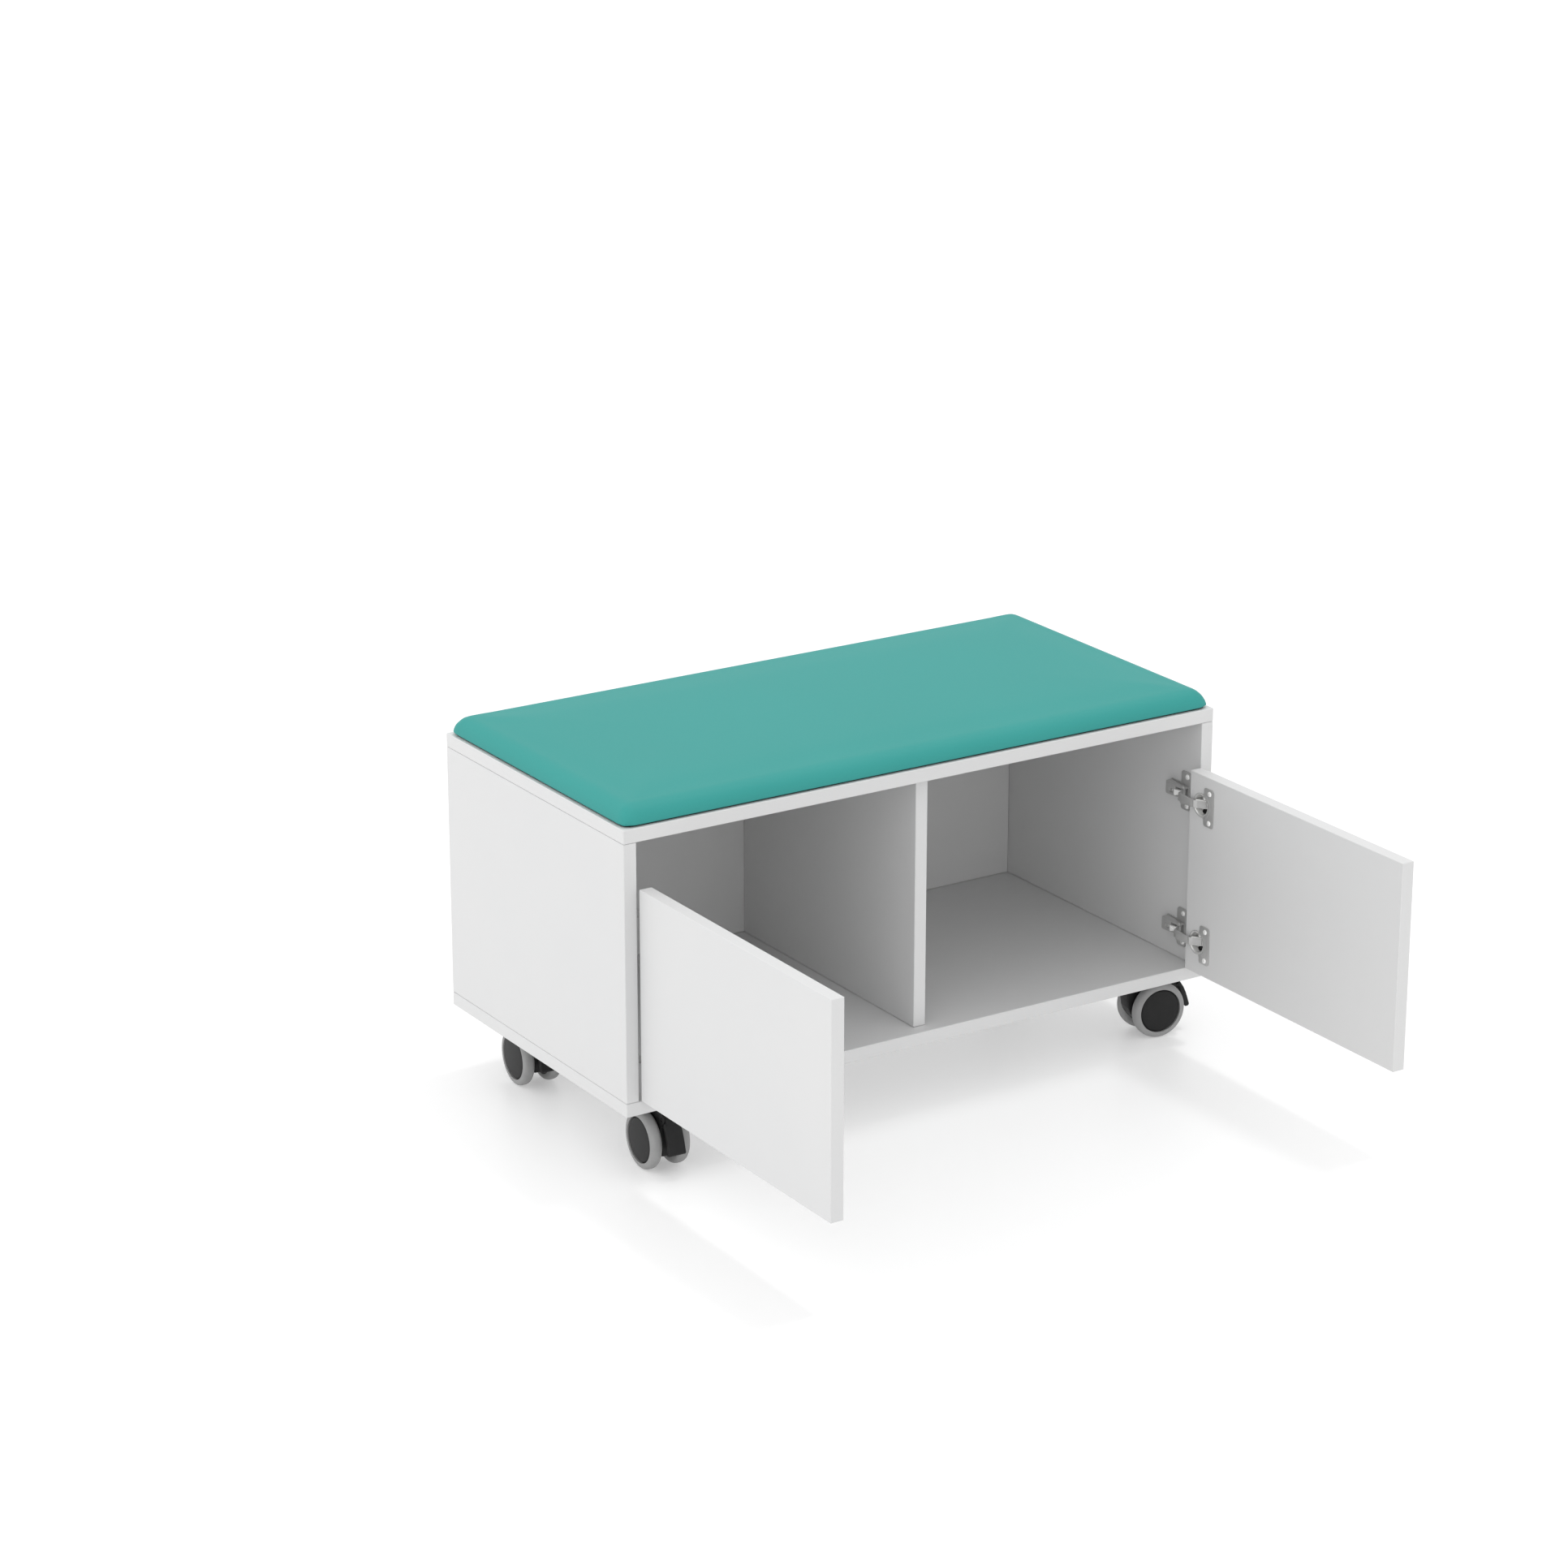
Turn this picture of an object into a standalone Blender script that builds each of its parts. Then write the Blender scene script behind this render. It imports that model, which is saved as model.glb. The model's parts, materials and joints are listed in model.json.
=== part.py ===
"""Mobile storage bench: a low two-door cabinet on four twin-wheel castors, with a padded seat on top.

Frame: metres, +Z up, doors and front at -Y. The origin is on the floor, at the centre of the
bounding box with both doors open at 90 degrees, which is how the bench is modelled.
"""
import math

import bmesh
import bpy
from mathutils import Matrix, Vector

for old in list(bpy.data.objects):
    bpy.data.objects.remove(old, do_unlink=True)

# ---------------------------------------------------------------- driving dimensions
WIDTH = 0.800           # carcass, side to side
DEPTH = 0.400           # carcass, front to back
HEIGHT = 0.335          # carcass without castors and seat
BOARD = 0.016           # every carcass board
GAP = 0.0003            # clearance between boards and fittings that touch

AXLE_DROP = 0.0475      # axle below the carcass underside
WHEEL_R = 0.0342

DOOR_W, DOOR_H, DOOR_T = 0.381, 0.248, 0.016
DOOR_SIDE_GAP = 0.0015  # to the side panel, closed
DOOR_FLOOR_GAP = 0.0015
DOOR_OPEN_X = 0.0010    # open door's outer face, inwards of the side panel's inner face
DOOR_OPEN_Y = 0.0030    # open door's hinge edge, in front of the carcass front

OVERHANG_X = 0.01101    # how far the front right brake lever stands out past the side panel
BASE_Z = AXLE_DROP + WHEEL_R                     # carcass underside
FRONT_Y = -(DEPTH - (DOOR_W + DOOR_OPEN_Y)) / 2  # carcass front
MID_X = -OVERHANG_X / 2                          # carcass centre
MID_Y = FRONT_Y + DEPTH / 2
INNER = WIDTH / 2 - BOARD                        # side panel's inner face from the middle
FRONT_MIDDLE = Vector((MID_X, FRONT_Y, BASE_Z))  # middle of the carcass's lower front edge

SMOOTH_ANGLE = math.radians(35)   # sharper edges stay sharp on fittings and seat

# ---------------------------------------------------------------- collections and materials
parts = bpy.data.collections.new("mobile_storage_bench")
cutters = bpy.data.collections.new("cutters")
for collection in (parts, cutters):
    bpy.context.scene.collection.children.link(collection)


def material(name, colour, roughness, metallic=0.0):
    mat = bpy.data.materials.new(name)
    mat.use_nodes = True
    shader = mat.node_tree.nodes["Principled BSDF"]
    shader.inputs["Base Color"].default_value = (*colour, 1.0)
    shader.inputs["Roughness"].default_value = roughness
    shader.inputs["Metallic"].default_value = metallic
    mat.diffuse_color = (*colour, 1.0)
    return mat


WHITE = material("white_board", colour=(0.83, 0.83, 0.83), roughness=0.45)
TEAL = material("teal_upholstery", colour=(0.075, 0.40, 0.37), roughness=0.6)
PLY = material("seat_board", colour=(0.10, 0.09, 0.08), roughness=0.7)
STEEL = material("hinge_steel", colour=(0.62, 0.61, 0.60), roughness=0.3, metallic=1.0)
ZINC = material("zinc_plate", colour=(0.52, 0.53, 0.55), roughness=0.4, metallic=1.0)
BLACK = material("black_nylon", colour=(0.022, 0.022, 0.022), roughness=0.45)
TYRE = material("grey_tyre", colour=(0.28, 0.28, 0.28), roughness=0.6)


# ---------------------------------------------------------------- objects and modifiers
def add(name, mesh, mat=None, at=(0, 0, 0), turn=(0, 0, 0), parent=None, collection=parts):
    obj = bpy.data.objects.new(name, mesh)
    collection.objects.link(obj)
    obj.location = at
    obj.rotation_euler = turn
    obj.parent = parent
    if mat:
        mesh.materials.clear()
        mesh.materials.append(mat)
    return obj


def cut(obj, mesh, operation="DIFFERENCE"):
    """A live Boolean on obj with a helper solid, kept in the cutters collection at obj's origin."""
    name = f"{obj.name}_cut_{len(obj.modifiers)}"
    helper = add(name, mesh, at=obj.location, parent=obj.parent, collection=cutters)
    helper.hide_render = True
    helper.display_type = "WIRE"
    boolean = obj.modifiers.new(operation.title(), "BOOLEAN")
    boolean.operation = operation
    boolean.solver = "EXACT"
    boolean.object = helper
    return helper


def soften(obj, width, segments=1, angle=40):
    """Bevel the edges that are sharper than an angle in degrees."""
    bevel = obj.modifiers.new("Edge", "BEVEL")
    bevel.width = width
    bevel.segments = segments
    bevel.limit_method = "ANGLE"
    bevel.angle_limit = math.radians(angle)


# ---------------------------------------------------------------- meshes
def from_bmesh(name, bm):
    mesh = bpy.data.meshes.new(name)
    bmesh.ops.recalc_face_normals(bm, faces=bm.faces)
    bm.to_mesh(mesh)
    bm.free()
    return mesh


def box_mesh(name, low, high):
    """A box between two corners."""
    low, high = Vector(low), Vector(high)
    bm = bmesh.new()
    bmesh.ops.create_cube(bm, size=1.0)
    bmesh.ops.scale(bm, vec=high - low, verts=bm.verts)
    bmesh.ops.translate(bm, vec=(low + high) / 2, verts=bm.verts)
    return from_bmesh(name, bm)


def cylinder_mesh(name, radius, low, high, segments, matrix=Matrix()):
    """A cylinder along local Z from low to high, then moved by a matrix."""
    bm = bmesh.new()
    bmesh.ops.create_cone(
        bm, cap_ends=True, segments=segments, radius1=radius, radius2=radius, depth=high - low
    )
    bmesh.ops.translate(bm, vec=(0, 0, (low + high) / 2), verts=bm.verts)
    bmesh.ops.transform(bm, matrix=matrix, verts=bm.verts)
    return from_bmesh(name, bm)


def outline_mesh(name, points, thickness, matrix=Matrix()):
    """A flat outline extruded to both sides of its plane, as a welded mesh."""
    curve = bpy.data.curves.new(name, "CURVE")
    curve.dimensions = "2D"
    curve.fill_mode = "BOTH"
    curve.extrude = thickness / 2
    spline = curve.splines.new("POLY")
    spline.points.add(len(points) - 1)
    for point, (x, y) in zip(spline.points, points):
        point.co = (x, y, 0, 1)
    spline.use_cyclic_u = True
    carrier = bpy.data.objects.new(name + "_curve", curve)
    bpy.context.scene.collection.objects.link(carrier)
    graph = bpy.context.evaluated_depsgraph_get()
    mesh = bpy.data.meshes.new_from_object(carrier.evaluated_get(graph))
    bpy.data.objects.remove(carrier, do_unlink=True)
    bm = bmesh.new()
    bm.from_mesh(mesh)
    bmesh.ops.remove_doubles(bm, verts=bm.verts, dist=0.00001)
    bmesh.ops.transform(bm, matrix=matrix, verts=bm.verts)
    bmesh.ops.recalc_face_normals(bm, faces=bm.faces)
    bm.to_mesh(mesh)
    bm.free()
    mesh.name = name
    return mesh


def profile_bmesh(profile, segments, closed=False):
    """A chain of edges through (radius, height) points, half a segment round from +X."""
    phase = math.pi / segments
    bm = bmesh.new()
    verts = [bm.verts.new((r * math.cos(phase), r * math.sin(phase), h)) for r, h in profile]
    for start, end in zip(verts, verts[1:]):
        bm.edges.new((start, end))
    if closed:
        bm.edges.new((verts[-1], verts[0]))
    return bm


def for_side(mesh, side):
    """The mesh as laid out for the left (side 1), or mirrored across x = 0 (side -1)."""
    if side < 0:
        bm = bmesh.new()
        bm.from_mesh(mesh)
        bmesh.ops.scale(bm, vec=(-1, 1, 1), verts=bm.verts)
        bmesh.ops.reverse_faces(bm, faces=bm.faces)
        bm.to_mesh(mesh)
        bm.free()
    return mesh


# ---------------------------------------------------------------- outlines
def rounded(corners, radius, steps):
    """An outline with every corner rounded by arcs of the given radius (or a list of radii)."""
    count = len(corners)
    radii = radius if isinstance(radius, list) else [radius] * count
    outline = []
    for i, corner_r in enumerate(radii):
        corner = Vector(corners[i])
        to_last = Vector(corners[i - 1]) - corner
        to_next = Vector(corners[(i + 1) % count]) - corner
        last_way, next_way = to_last.normalized(), to_next.normalized()
        half_angle = last_way.angle(next_way) / 2
        reach = min(corner_r / math.tan(half_angle), 0.48 * to_last.length, 0.48 * to_next.length)
        arc_r = reach * math.tan(half_angle)
        centre = corner + (last_way + next_way).normalized() * (arc_r / math.sin(half_angle))
        start = corner + last_way * reach - centre
        end = corner + next_way * reach - centre
        sweep = start.angle_signed(end)
        for k in range(steps + 1):
            angle = -sweep * k / steps
            x = centre.x + start.x * math.cos(angle) - start.y * math.sin(angle)
            y = centre.y + start.x * math.sin(angle) + start.y * math.cos(angle)
            outline.append((x, y))
    return outline


def rounded_rectangle(width, depth, radius, steps):
    x, y = width / 2, depth / 2
    return rounded([(-x, -y), (x, -y), (x, y), (-x, y)], radius, steps)


def ribbon(path, half_width):
    """The outline of a strip of even width along an open path."""
    points = [Vector(point) for point in path]
    runs = [(end - start).normalized() for start, end in zip(points, points[1:])]
    one_side, other_side = [], []
    for point, before, after in zip(points, runs[:1] + runs, runs + runs[-1:]):
        along = (before + after).normalized()
        offset = Vector((-along.y, along.x)) * half_width / max(0.3, along.dot(after))
        one_side.append(tuple(point + offset))
        other_side.append(tuple(point - offset))
    return one_side + other_side[::-1]


# ---------------------------------------------------------------- carcass
BOARD_EDGE = 0.0006         # bevel on carcass boards and doors
DIVIDER_SETBACK = 0.017     # divider's front edge behind the carcass front
HALF_WIDTH = WIDTH / 2
LOW_Z, HIGH_Z = BOARD + GAP, HEIGHT - BOARD - GAP   # boards between bottom and top panel

# name, low corner, high corner; from the middle of the carcass's lower front edge
CARCASS = [
    ("bottom_panel", (-HALF_WIDTH, 0, 0), (HALF_WIDTH, DEPTH, BOARD)),
    ("top_panel", (-HALF_WIDTH, 0, HEIGHT - BOARD), (HALF_WIDTH, DEPTH, HEIGHT)),
    ("left_side_panel", (-HALF_WIDTH, 0, LOW_Z), (-INNER, DEPTH, HIGH_Z)),
    ("right_side_panel", (INNER, 0, LOW_Z), (HALF_WIDTH, DEPTH, HIGH_Z)),
    ("back_panel", (-INNER + GAP, DEPTH - BOARD, LOW_Z), (INNER - GAP, DEPTH, HIGH_Z)),
    ("divider_panel", (-BOARD / 2, DIVIDER_SETBACK, LOW_Z), (BOARD / 2, DEPTH - BOARD - GAP, HIGH_Z)),
]


def carcass_board(name, low, high):
    """A board with its origin at its centre."""
    low, high = Vector(low), Vector(high)
    centre = (low + high) / 2
    mesh = box_mesh(name, low - centre, high - centre)
    soften(add(name, mesh, WHITE, centre + FRONT_MIDDLE), BOARD_EDGE)


# ---------------------------------------------------------------- padded seat
SEAT_INSET = 0.0030         # cushion inside the carcass outline, all round
SEAT_BOARD_INSET = 0.0060   # base board inside the cushion outline, all round
SEAT_BOARD_T = 0.004
SEAT_BOARD_CORNER_R = 0.010
CUSHION_H = 0.0205
CUSHION_CORNER_R = 0.010
CUSHION_EDGE = 0.0095       # bevel
SEAT_W, SEAT_D = WIDTH - 2 * SEAT_INSET, DEPTH - 2 * SEAT_INSET
SEAT_Z = BASE_Z + HEIGHT + GAP


def seat_base_board():
    board_w, board_d = SEAT_W - 2 * SEAT_BOARD_INSET, SEAT_D - 2 * SEAT_BOARD_INSET
    outline = rounded_rectangle(board_w, board_d, SEAT_BOARD_CORNER_R, steps=3)
    mesh = outline_mesh("seat_base_board", outline, SEAT_BOARD_T)
    add("seat_base_board", mesh, PLY, (MID_X, MID_Y, SEAT_Z + SEAT_BOARD_T / 2))


def seat_cushion():
    outline = rounded_rectangle(SEAT_W, SEAT_D, CUSHION_CORNER_R, steps=4)
    mesh = outline_mesh("seat_cushion", outline, CUSHION_H)
    at = (MID_X, MID_Y, SEAT_Z + SEAT_BOARD_T + GAP + CUSHION_H / 2)
    soften(add("seat_cushion", mesh, TEAL, at), CUSHION_EDGE, segments=3, angle=60)


# ---------------------------------------------------------------- doors and concealed hinges
# Everything is laid out for the left door and mirrored for the right one. The door turns about
# the hinge's effective axis, close to the side panel's front inner edge. X is from the middle of
# the carcass, Y from its front and Z from its underside.
AXIS_X = -INNER + (DOOR_SIDE_GAP - DOOR_OPEN_Y + DOOR_OPEN_X) / 2
AXIS_Y = -(DOOR_OPEN_Y - DOOR_SIDE_GAP + DOOR_OPEN_X) / 2
DOOR_Z = BOARD + DOOR_FLOOR_GAP
DOOR_FACE_X = -INNER + DOOR_OPEN_X + DOOR_T       # open left door's inner face

HINGE_Z = {"upper": 0.2285, "lower": 0.0570}

CUP_IN = 0.022              # cup centre from the door's hinge edge
CUP_R, CUP_DEPTH = 0.0130, 0.0113
CUP_SHEET = 0.0010          # thickness of the cup's wall, floor, rim and flange
CUP_RIM = 0.0018            # rim beyond the cup's radius
CUP_SEGMENTS = 24
CUP_Y = -DOOR_OPEN_Y - CUP_IN                     # open cup centre
RIM_LOW, RIM_HIGH = GAP, GAP + CUP_SHEET          # above the door's inner face
FLANGE_HALF_H = 0.0235
FLANGE_NEAR = 0.0055                              # flange edges from the cup centre
FLANGE_FAR = 0.0455 - CUP_IN
FLANGE_CORNER_R = 0.0040
# (radius, height above the door's inner face)
CUP_PROFILE = [
    (0.0, -CUP_DEPTH + CUP_SHEET), (CUP_R - CUP_SHEET, -CUP_DEPTH + CUP_SHEET),
    (CUP_R - CUP_SHEET, RIM_HIGH), (CUP_R + CUP_RIM, RIM_HIGH), (CUP_R + CUP_RIM, RIM_LOW),
    (CUP_R, RIM_LOW), (CUP_R, -CUP_DEPTH), (0.0, -CUP_DEPTH),
]
# cylinders square to the door's inner face, around the cup centre
POCKET = dict(radius=CUP_R + GAP, low=-CUP_DEPTH - 0.0004, high=0.005, segments=CUP_SEGMENTS)
FLANGE_HOLLOW = dict(radius=CUP_R - 0.0005, low=-0.002, high=0.006, segments=CUP_SEGMENTS)

WING_T = 0.0012
# (height from the hinge's middle, y), with a radius for each corner
WING = [
    (-0.024, 0.0178), (0.024, 0.0178), (0.024, 0.0345), (0.0085, 0.0345),
    (0.0085, 0.0540), (-0.0085, 0.0540), (-0.0085, 0.0345), (-0.024, 0.0345),
]
WING_RADII = [0.003, 0.003, 0.003, 0.001, 0.002, 0.002, 0.001, 0.003]

# boxes: span inwards of the side panel's inner face, span in y, half height
ARM = dict(inwards=(0.0018, 0.0104), y=(0.0185, 0.0525), half_height=0.0080)
ARM_SLOT = dict(inwards=(0.0010, 0.0200), y=(0.0100, 0.0340), half_height=0.0050)

PIN_X, PIN_Y = -INNER + 0.0080, 0.0215            # link pin in the hinge arm
# upright cylinders on the link pin's axis
PIN_BORE = dict(radius=0.0018, low=-0.012, high=0.012, segments=12)
LINK_BOSS = dict(radius=0.0028, low=-0.0045, high=0.0045, segments=16)
LINK_PIN = dict(radius=0.0015, low=-0.0078, high=0.0078, segments=12)
LINK_HALF_T = 0.0008
LINK_H = 0.0090
# (x, y) from the pin
LINK_PATH = [
    (0, 0), (0.0123, -0.0070), (0.0134, -0.0120), (0.0134, -0.0375), (0.0100, -0.0392),
    (0.0045, -0.0500),
]

Z_TO_X = Matrix.Rotation(math.radians(90), 4, "Y")    # local Z to +X
# stand an outline up facing X: its x becomes height, its y becomes -y or y
STAND_Y_FLIPPED = Matrix(((0, 0, 1, 0), (0, -1, 0, 0), (1, 0, 0, 0), (0, 0, 0, 1)))
STAND = Matrix(((0, 0, 1, 0), (0, 1, 0, 0), (1, 0, 0, 0), (0, 0, 0, 1)))


def from_door_axis(x, y, z):
    return Vector((x - AXIS_X, y - AXIS_Y, z))


def door_axis_at(side):
    return (MID_X + side * AXIS_X, FRONT_Y + AXIS_Y, BASE_Z)


def cup_cylinder(name, size, z, side):
    place = Matrix.Translation(from_door_axis(DOOR_FACE_X, CUP_Y, z)) @ Z_TO_X
    return for_side(cylinder_mesh(name, **size, matrix=place), side)


def open_door(name, side):
    """A door with a pocket for each hinge cup, open towards its inner face."""
    low = from_door_axis(DOOR_FACE_X - DOOR_T, -DOOR_OPEN_Y - DOOR_W, DOOR_Z)
    high = from_door_axis(DOOR_FACE_X, -DOOR_OPEN_Y, DOOR_Z + DOOR_H)
    door = add(name, for_side(box_mesh(name, low, high), side), WHITE, door_axis_at(side))
    soften(door, BOARD_EDGE)
    for z in HINGE_Z.values():
        cut(door, cup_cylinder("pocket", POCKET, z, side))


def hinge_cup(name, z, side):
    """A turned pot with a rim, and a flange on the side away from the door's hinge edge."""
    centre = from_door_axis(DOOR_FACE_X, CUP_Y, z)
    bm = profile_bmesh(CUP_PROFILE, CUP_SEGMENTS)
    bmesh.ops.spin(
        bm, geom=bm.verts[:] + bm.edges[:], cent=(0, 0, 0), axis=(0, 0, 1), angle=math.tau,
        steps=CUP_SEGMENTS, use_merge=True,
    )
    bmesh.ops.remove_doubles(bm, verts=bm.verts, dist=0.00001)
    bmesh.ops.transform(bm, matrix=Matrix.Translation(centre) @ Z_TO_X, verts=bm.verts)
    cup = add(name, for_side(from_bmesh(name, bm), side), STEEL, door_axis_at(side))

    corners = [
        (-FLANGE_HALF_H, FLANGE_NEAR), (FLANGE_HALF_H, FLANGE_NEAR),
        (FLANGE_HALF_H, FLANGE_FAR), (-FLANGE_HALF_H, FLANGE_FAR),
    ]
    outline = rounded(corners, FLANGE_CORNER_R, steps=3)
    middle = centre + Vector(((RIM_LOW + RIM_HIGH) / 2, 0, 0))
    place = Matrix.Translation(middle) @ STAND_Y_FLIPPED
    flange_mesh = outline_mesh("flange", outline, RIM_HIGH - RIM_LOW, place)
    flange = cut(cup, for_side(flange_mesh, side), "UNION")
    # the flange itself is cut away over the pot, so that the pot stays open
    hollow = cut(flange, cup_cylinder("hollow", FLANGE_HOLLOW, z, side))
    hollow.name = f"{flange.name}_cut_1"


def hinge_plate(name, z, side):
    """Mounting plate on the side panel: a wing with a base strip under the arm."""
    place = Matrix.Translation((-INNER + GAP + WING_T / 2, 0, z)) @ STAND
    mesh = outline_mesh(name, rounded(WING, WING_RADII, steps=2), WING_T, place)
    add(name, for_side(mesh, side), STEEL, FRONT_MIDDLE)


def side_panel_box(name, z, side, inwards, y, half_height):
    """A box set off inwards from the side panel's inner face."""
    low = (-INNER + inwards[0], y[0], z - half_height)
    high = (-INNER + inwards[1], y[1], z + half_height)
    return for_side(box_mesh(name, low, high), side)


def hinge_arm(name, z, side):
    """A block with a slot for the link between two cheeks."""
    arm = add(name, side_panel_box(name, z, side, **ARM), STEEL, FRONT_MIDDLE)
    cut(arm, side_panel_box("slot", z, side, **ARM_SLOT))
    bore = cylinder_mesh("pin_bore", **PIN_BORE, matrix=Matrix.Translation((PIN_X, PIN_Y, z)))
    cut(arm, for_side(bore, side))


def hinge_link(name, z, side):
    """A swan-neck that reaches over the door's edge into the cup, with its cross pin."""
    mesh = for_side(outline_mesh(name, ribbon(LINK_PATH, LINK_HALF_T), LINK_H), side)
    link = add(name, mesh, STEEL, (MID_X + side * PIN_X, FRONT_Y + PIN_Y, BASE_Z + z))
    cut(link, cylinder_mesh("boss", **LINK_BOSS), "UNION")
    cut(link, cylinder_mesh("pin", **LINK_PIN), "UNION")


# ---------------------------------------------------------------- castors
# Local frame of a castor: swivel axis at the origin, underside of the carcass at z = 0,
# trailing along +X.
CASTOR_X, CASTOR_Y = 0.3392, 0.1427   # swivel axes, from the carcass centre
CASTOR_TRAIL = 0.0229                 # axle from the swivel axis
CASTOR_TURN = {                       # direction in which each castor trails, degrees from +X
    "front_left": -92.75,
    "back_left": -94.0,
    "front_right": -7.0,
    "back_right": 25.0,
}

PLATE_SIZE, PLATE_T, PLATE_CORNER_R = 0.056, 0.0025, 0.008
HOLE_OFFSET = 0.021                   # plate's screw holes from its centre, in x and in y

# upright cylinders: screw holes, and those on the swivel axis
SCREW_HOLE = dict(radius=0.0022, low=-0.006, high=0.003, segments=8)
KING_PIN = dict(radius=0.0050, low=-0.0300, high=-0.0010, segments=16)
COLLAR = dict(radius=0.0150, low=-0.0125, high=-0.0040, segments=20)
KING_BORE = dict(radius=0.0054, low=-0.0320, high=0.0020, segments=16)

# cylinders across the castor
AXLE_BORE_R = 0.0043
AXLE_BORE = dict(radius=AXLE_BORE_R, low=-0.015, high=0.015, segments=16)
AXLE = dict(radius=0.0040, low=-0.0213, high=0.0213, segments=16)
PIVOT_BORE = dict(radius=0.0021, low=-0.015, high=0.015, segments=12)
PIVOT_PIN = dict(radius=0.0018, low=-0.0096, high=0.0096, segments=12)

HOUSING_W = 0.0196                    # widths across the castor
LEVER_PAD_W = 0.0204
LEVER_ROOT_W = 0.0152
EAR_SLOT_HALF_W = 0.0080

# (x, z) in millimetres from the axle centre, x trailing
LEVER_PIVOT = (27.0, 31.0)
EAR_SLOT = [(21.5, 22.5), (40.0, 42.0)]   # low and high corner
HOUSING = [
    (-32.5, 37.5), (-36.0, 34.5), (-37.2, 28.0), (-37.4, 21.0), (-37.0, 12.8), (-35.8, 4.5),
    (-32.4, -3.7), (-26.6, -11.2), (-20.0, -15.8), (-10.0, -18.3), (5.0, -18.6), (18.0, -16.0),
    (25.5, -13.6), (29.2, -12.2), (28.6, -2.0), (26.6, 9.0), (23.2, 20.0), (31.5, 27.5),
    (31.8, 34.5), (28.5, 37.5),
]
LEVER_ROOT = [
    (23.9, 32.0), (25.4, 34.0), (28.0, 34.4), (31.0, 32.6), (36.0, 26.5), (34.5, 22.0),
    (31.0, 22.5), (29.0, 26.5), (26.6, 27.8), (24.2, 29.2),
]
LEVER_PAD = [
    (33.0, 30.0), (36.4, 24.6), (39.7, 19.7), (43.2, 12.0), (45.8, 4.2), (48.2, -3.6),
    (47.2, -5.9), (43.2, -6.4), (41.4, -4.6), (37.6, 9.5), (33.4, 20.8), (31.2, 24.5),
]

WHEEL_SEGMENTS = 24
WHEEL_OUTER, WHEEL_INNER = 0.0245, 0.0106   # tyre's faces from the castor's mid plane
HUB_R = 0.0260
# (radius, distance from the castor's mid plane)
TYRE_PROFILE = [
    (0.0285, WHEEL_OUTER), (0.0310, 0.0241), (0.0328, 0.0230), (0.0338, 0.0212),
    (WHEEL_R, 0.0188), (WHEEL_R, 0.0165), (0.0337, 0.0142), (0.0325, 0.0123), (0.0308, 0.0111),
    (0.0286, WHEEL_INNER), (HUB_R + GAP, WHEEL_INNER), (HUB_R + GAP, WHEEL_OUTER),
]
HUB_PROFILE = [
    (0.0, 0.0238), (0.0250, 0.0241), (HUB_R, 0.0236), (HUB_R, 0.0112),
    (AXLE_BORE_R, 0.0108), (AXLE_BORE_R, 0.0216), (0.0, 0.0216),
]
# The tread is widened so that the middles of its flats, not their edges, lie at its radius.
TREAD_R = 0.033             # points beyond this radius are tread
FACET = 1 / math.cos(math.pi / WHEEL_SEGMENTS)
TYRE_PROFILE = [(r * (FACET if r > TREAD_R else 1), h) for r, h in TYRE_PROFILE]

ACROSS = Matrix.Rotation(math.radians(90), 4, "X")    # local Y to +Z, local Z to -Y


def about_axle(points):
    """Points in millimetres from the axle centre, as metres in the castor frame."""
    return [(CASTOR_TRAIL + x / 1000, -AXLE_DROP + z / 1000) for x, z in points]


AXLE_AT = Vector((CASTOR_TRAIL, 0, -AXLE_DROP))
PIVOT_X, PIVOT_Z = about_axle([LEVER_PIVOT])[0]
PIVOT_AT = Vector((PIVOT_X, 0, PIVOT_Z))


def castor_plate(name, at):
    """Top plate under the bottom panel, with four screw holes and its king pin."""
    outline = rounded_rectangle(PLATE_SIZE, PLATE_SIZE, PLATE_CORNER_R, steps=3)
    lower = Matrix.Translation((0, 0, -GAP - PLATE_T / 2))
    plate = add(name, outline_mesh(name, outline, PLATE_T, lower), ZINC, at)
    cut(plate, cylinder_mesh("king_pin", **KING_PIN), "UNION")
    for x in (-HOLE_OFFSET, HOLE_OFFSET):
        for y in (-HOLE_OFFSET, HOLE_OFFSET):
            cut(plate, cylinder_mesh("hole", **SCREW_HOLE, matrix=Matrix.Translation((x, y, 0))))


def castor_housing(name, swivel):
    """The body between the wheels, slotted for the brake lever."""
    mesh = outline_mesh(name, about_axle(HOUSING), HOUSING_W, ACROSS)
    housing = add(name, mesh, BLACK, parent=swivel)
    cut(housing, cylinder_mesh("collar", **COLLAR), "UNION")
    cut(housing, cylinder_mesh("king_bore", **KING_BORE))
    at_axle = Matrix.Translation(AXLE_AT) @ ACROSS
    cut(housing, cylinder_mesh("axle_bore", **AXLE_BORE, matrix=at_axle))
    (low_x, low_z), (high_x, high_z) = about_axle(EAR_SLOT)
    low, high = (low_x, -EAR_SLOT_HALF_W, low_z), (high_x, EAR_SLOT_HALF_W, high_z)
    cut(housing, box_mesh("ear_slot", low, high))
    at_pivot = Matrix.Translation(PIVOT_AT) @ ACROSS
    cut(housing, cylinder_mesh("pivot_bore", **PIVOT_BORE, matrix=at_pivot))


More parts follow.
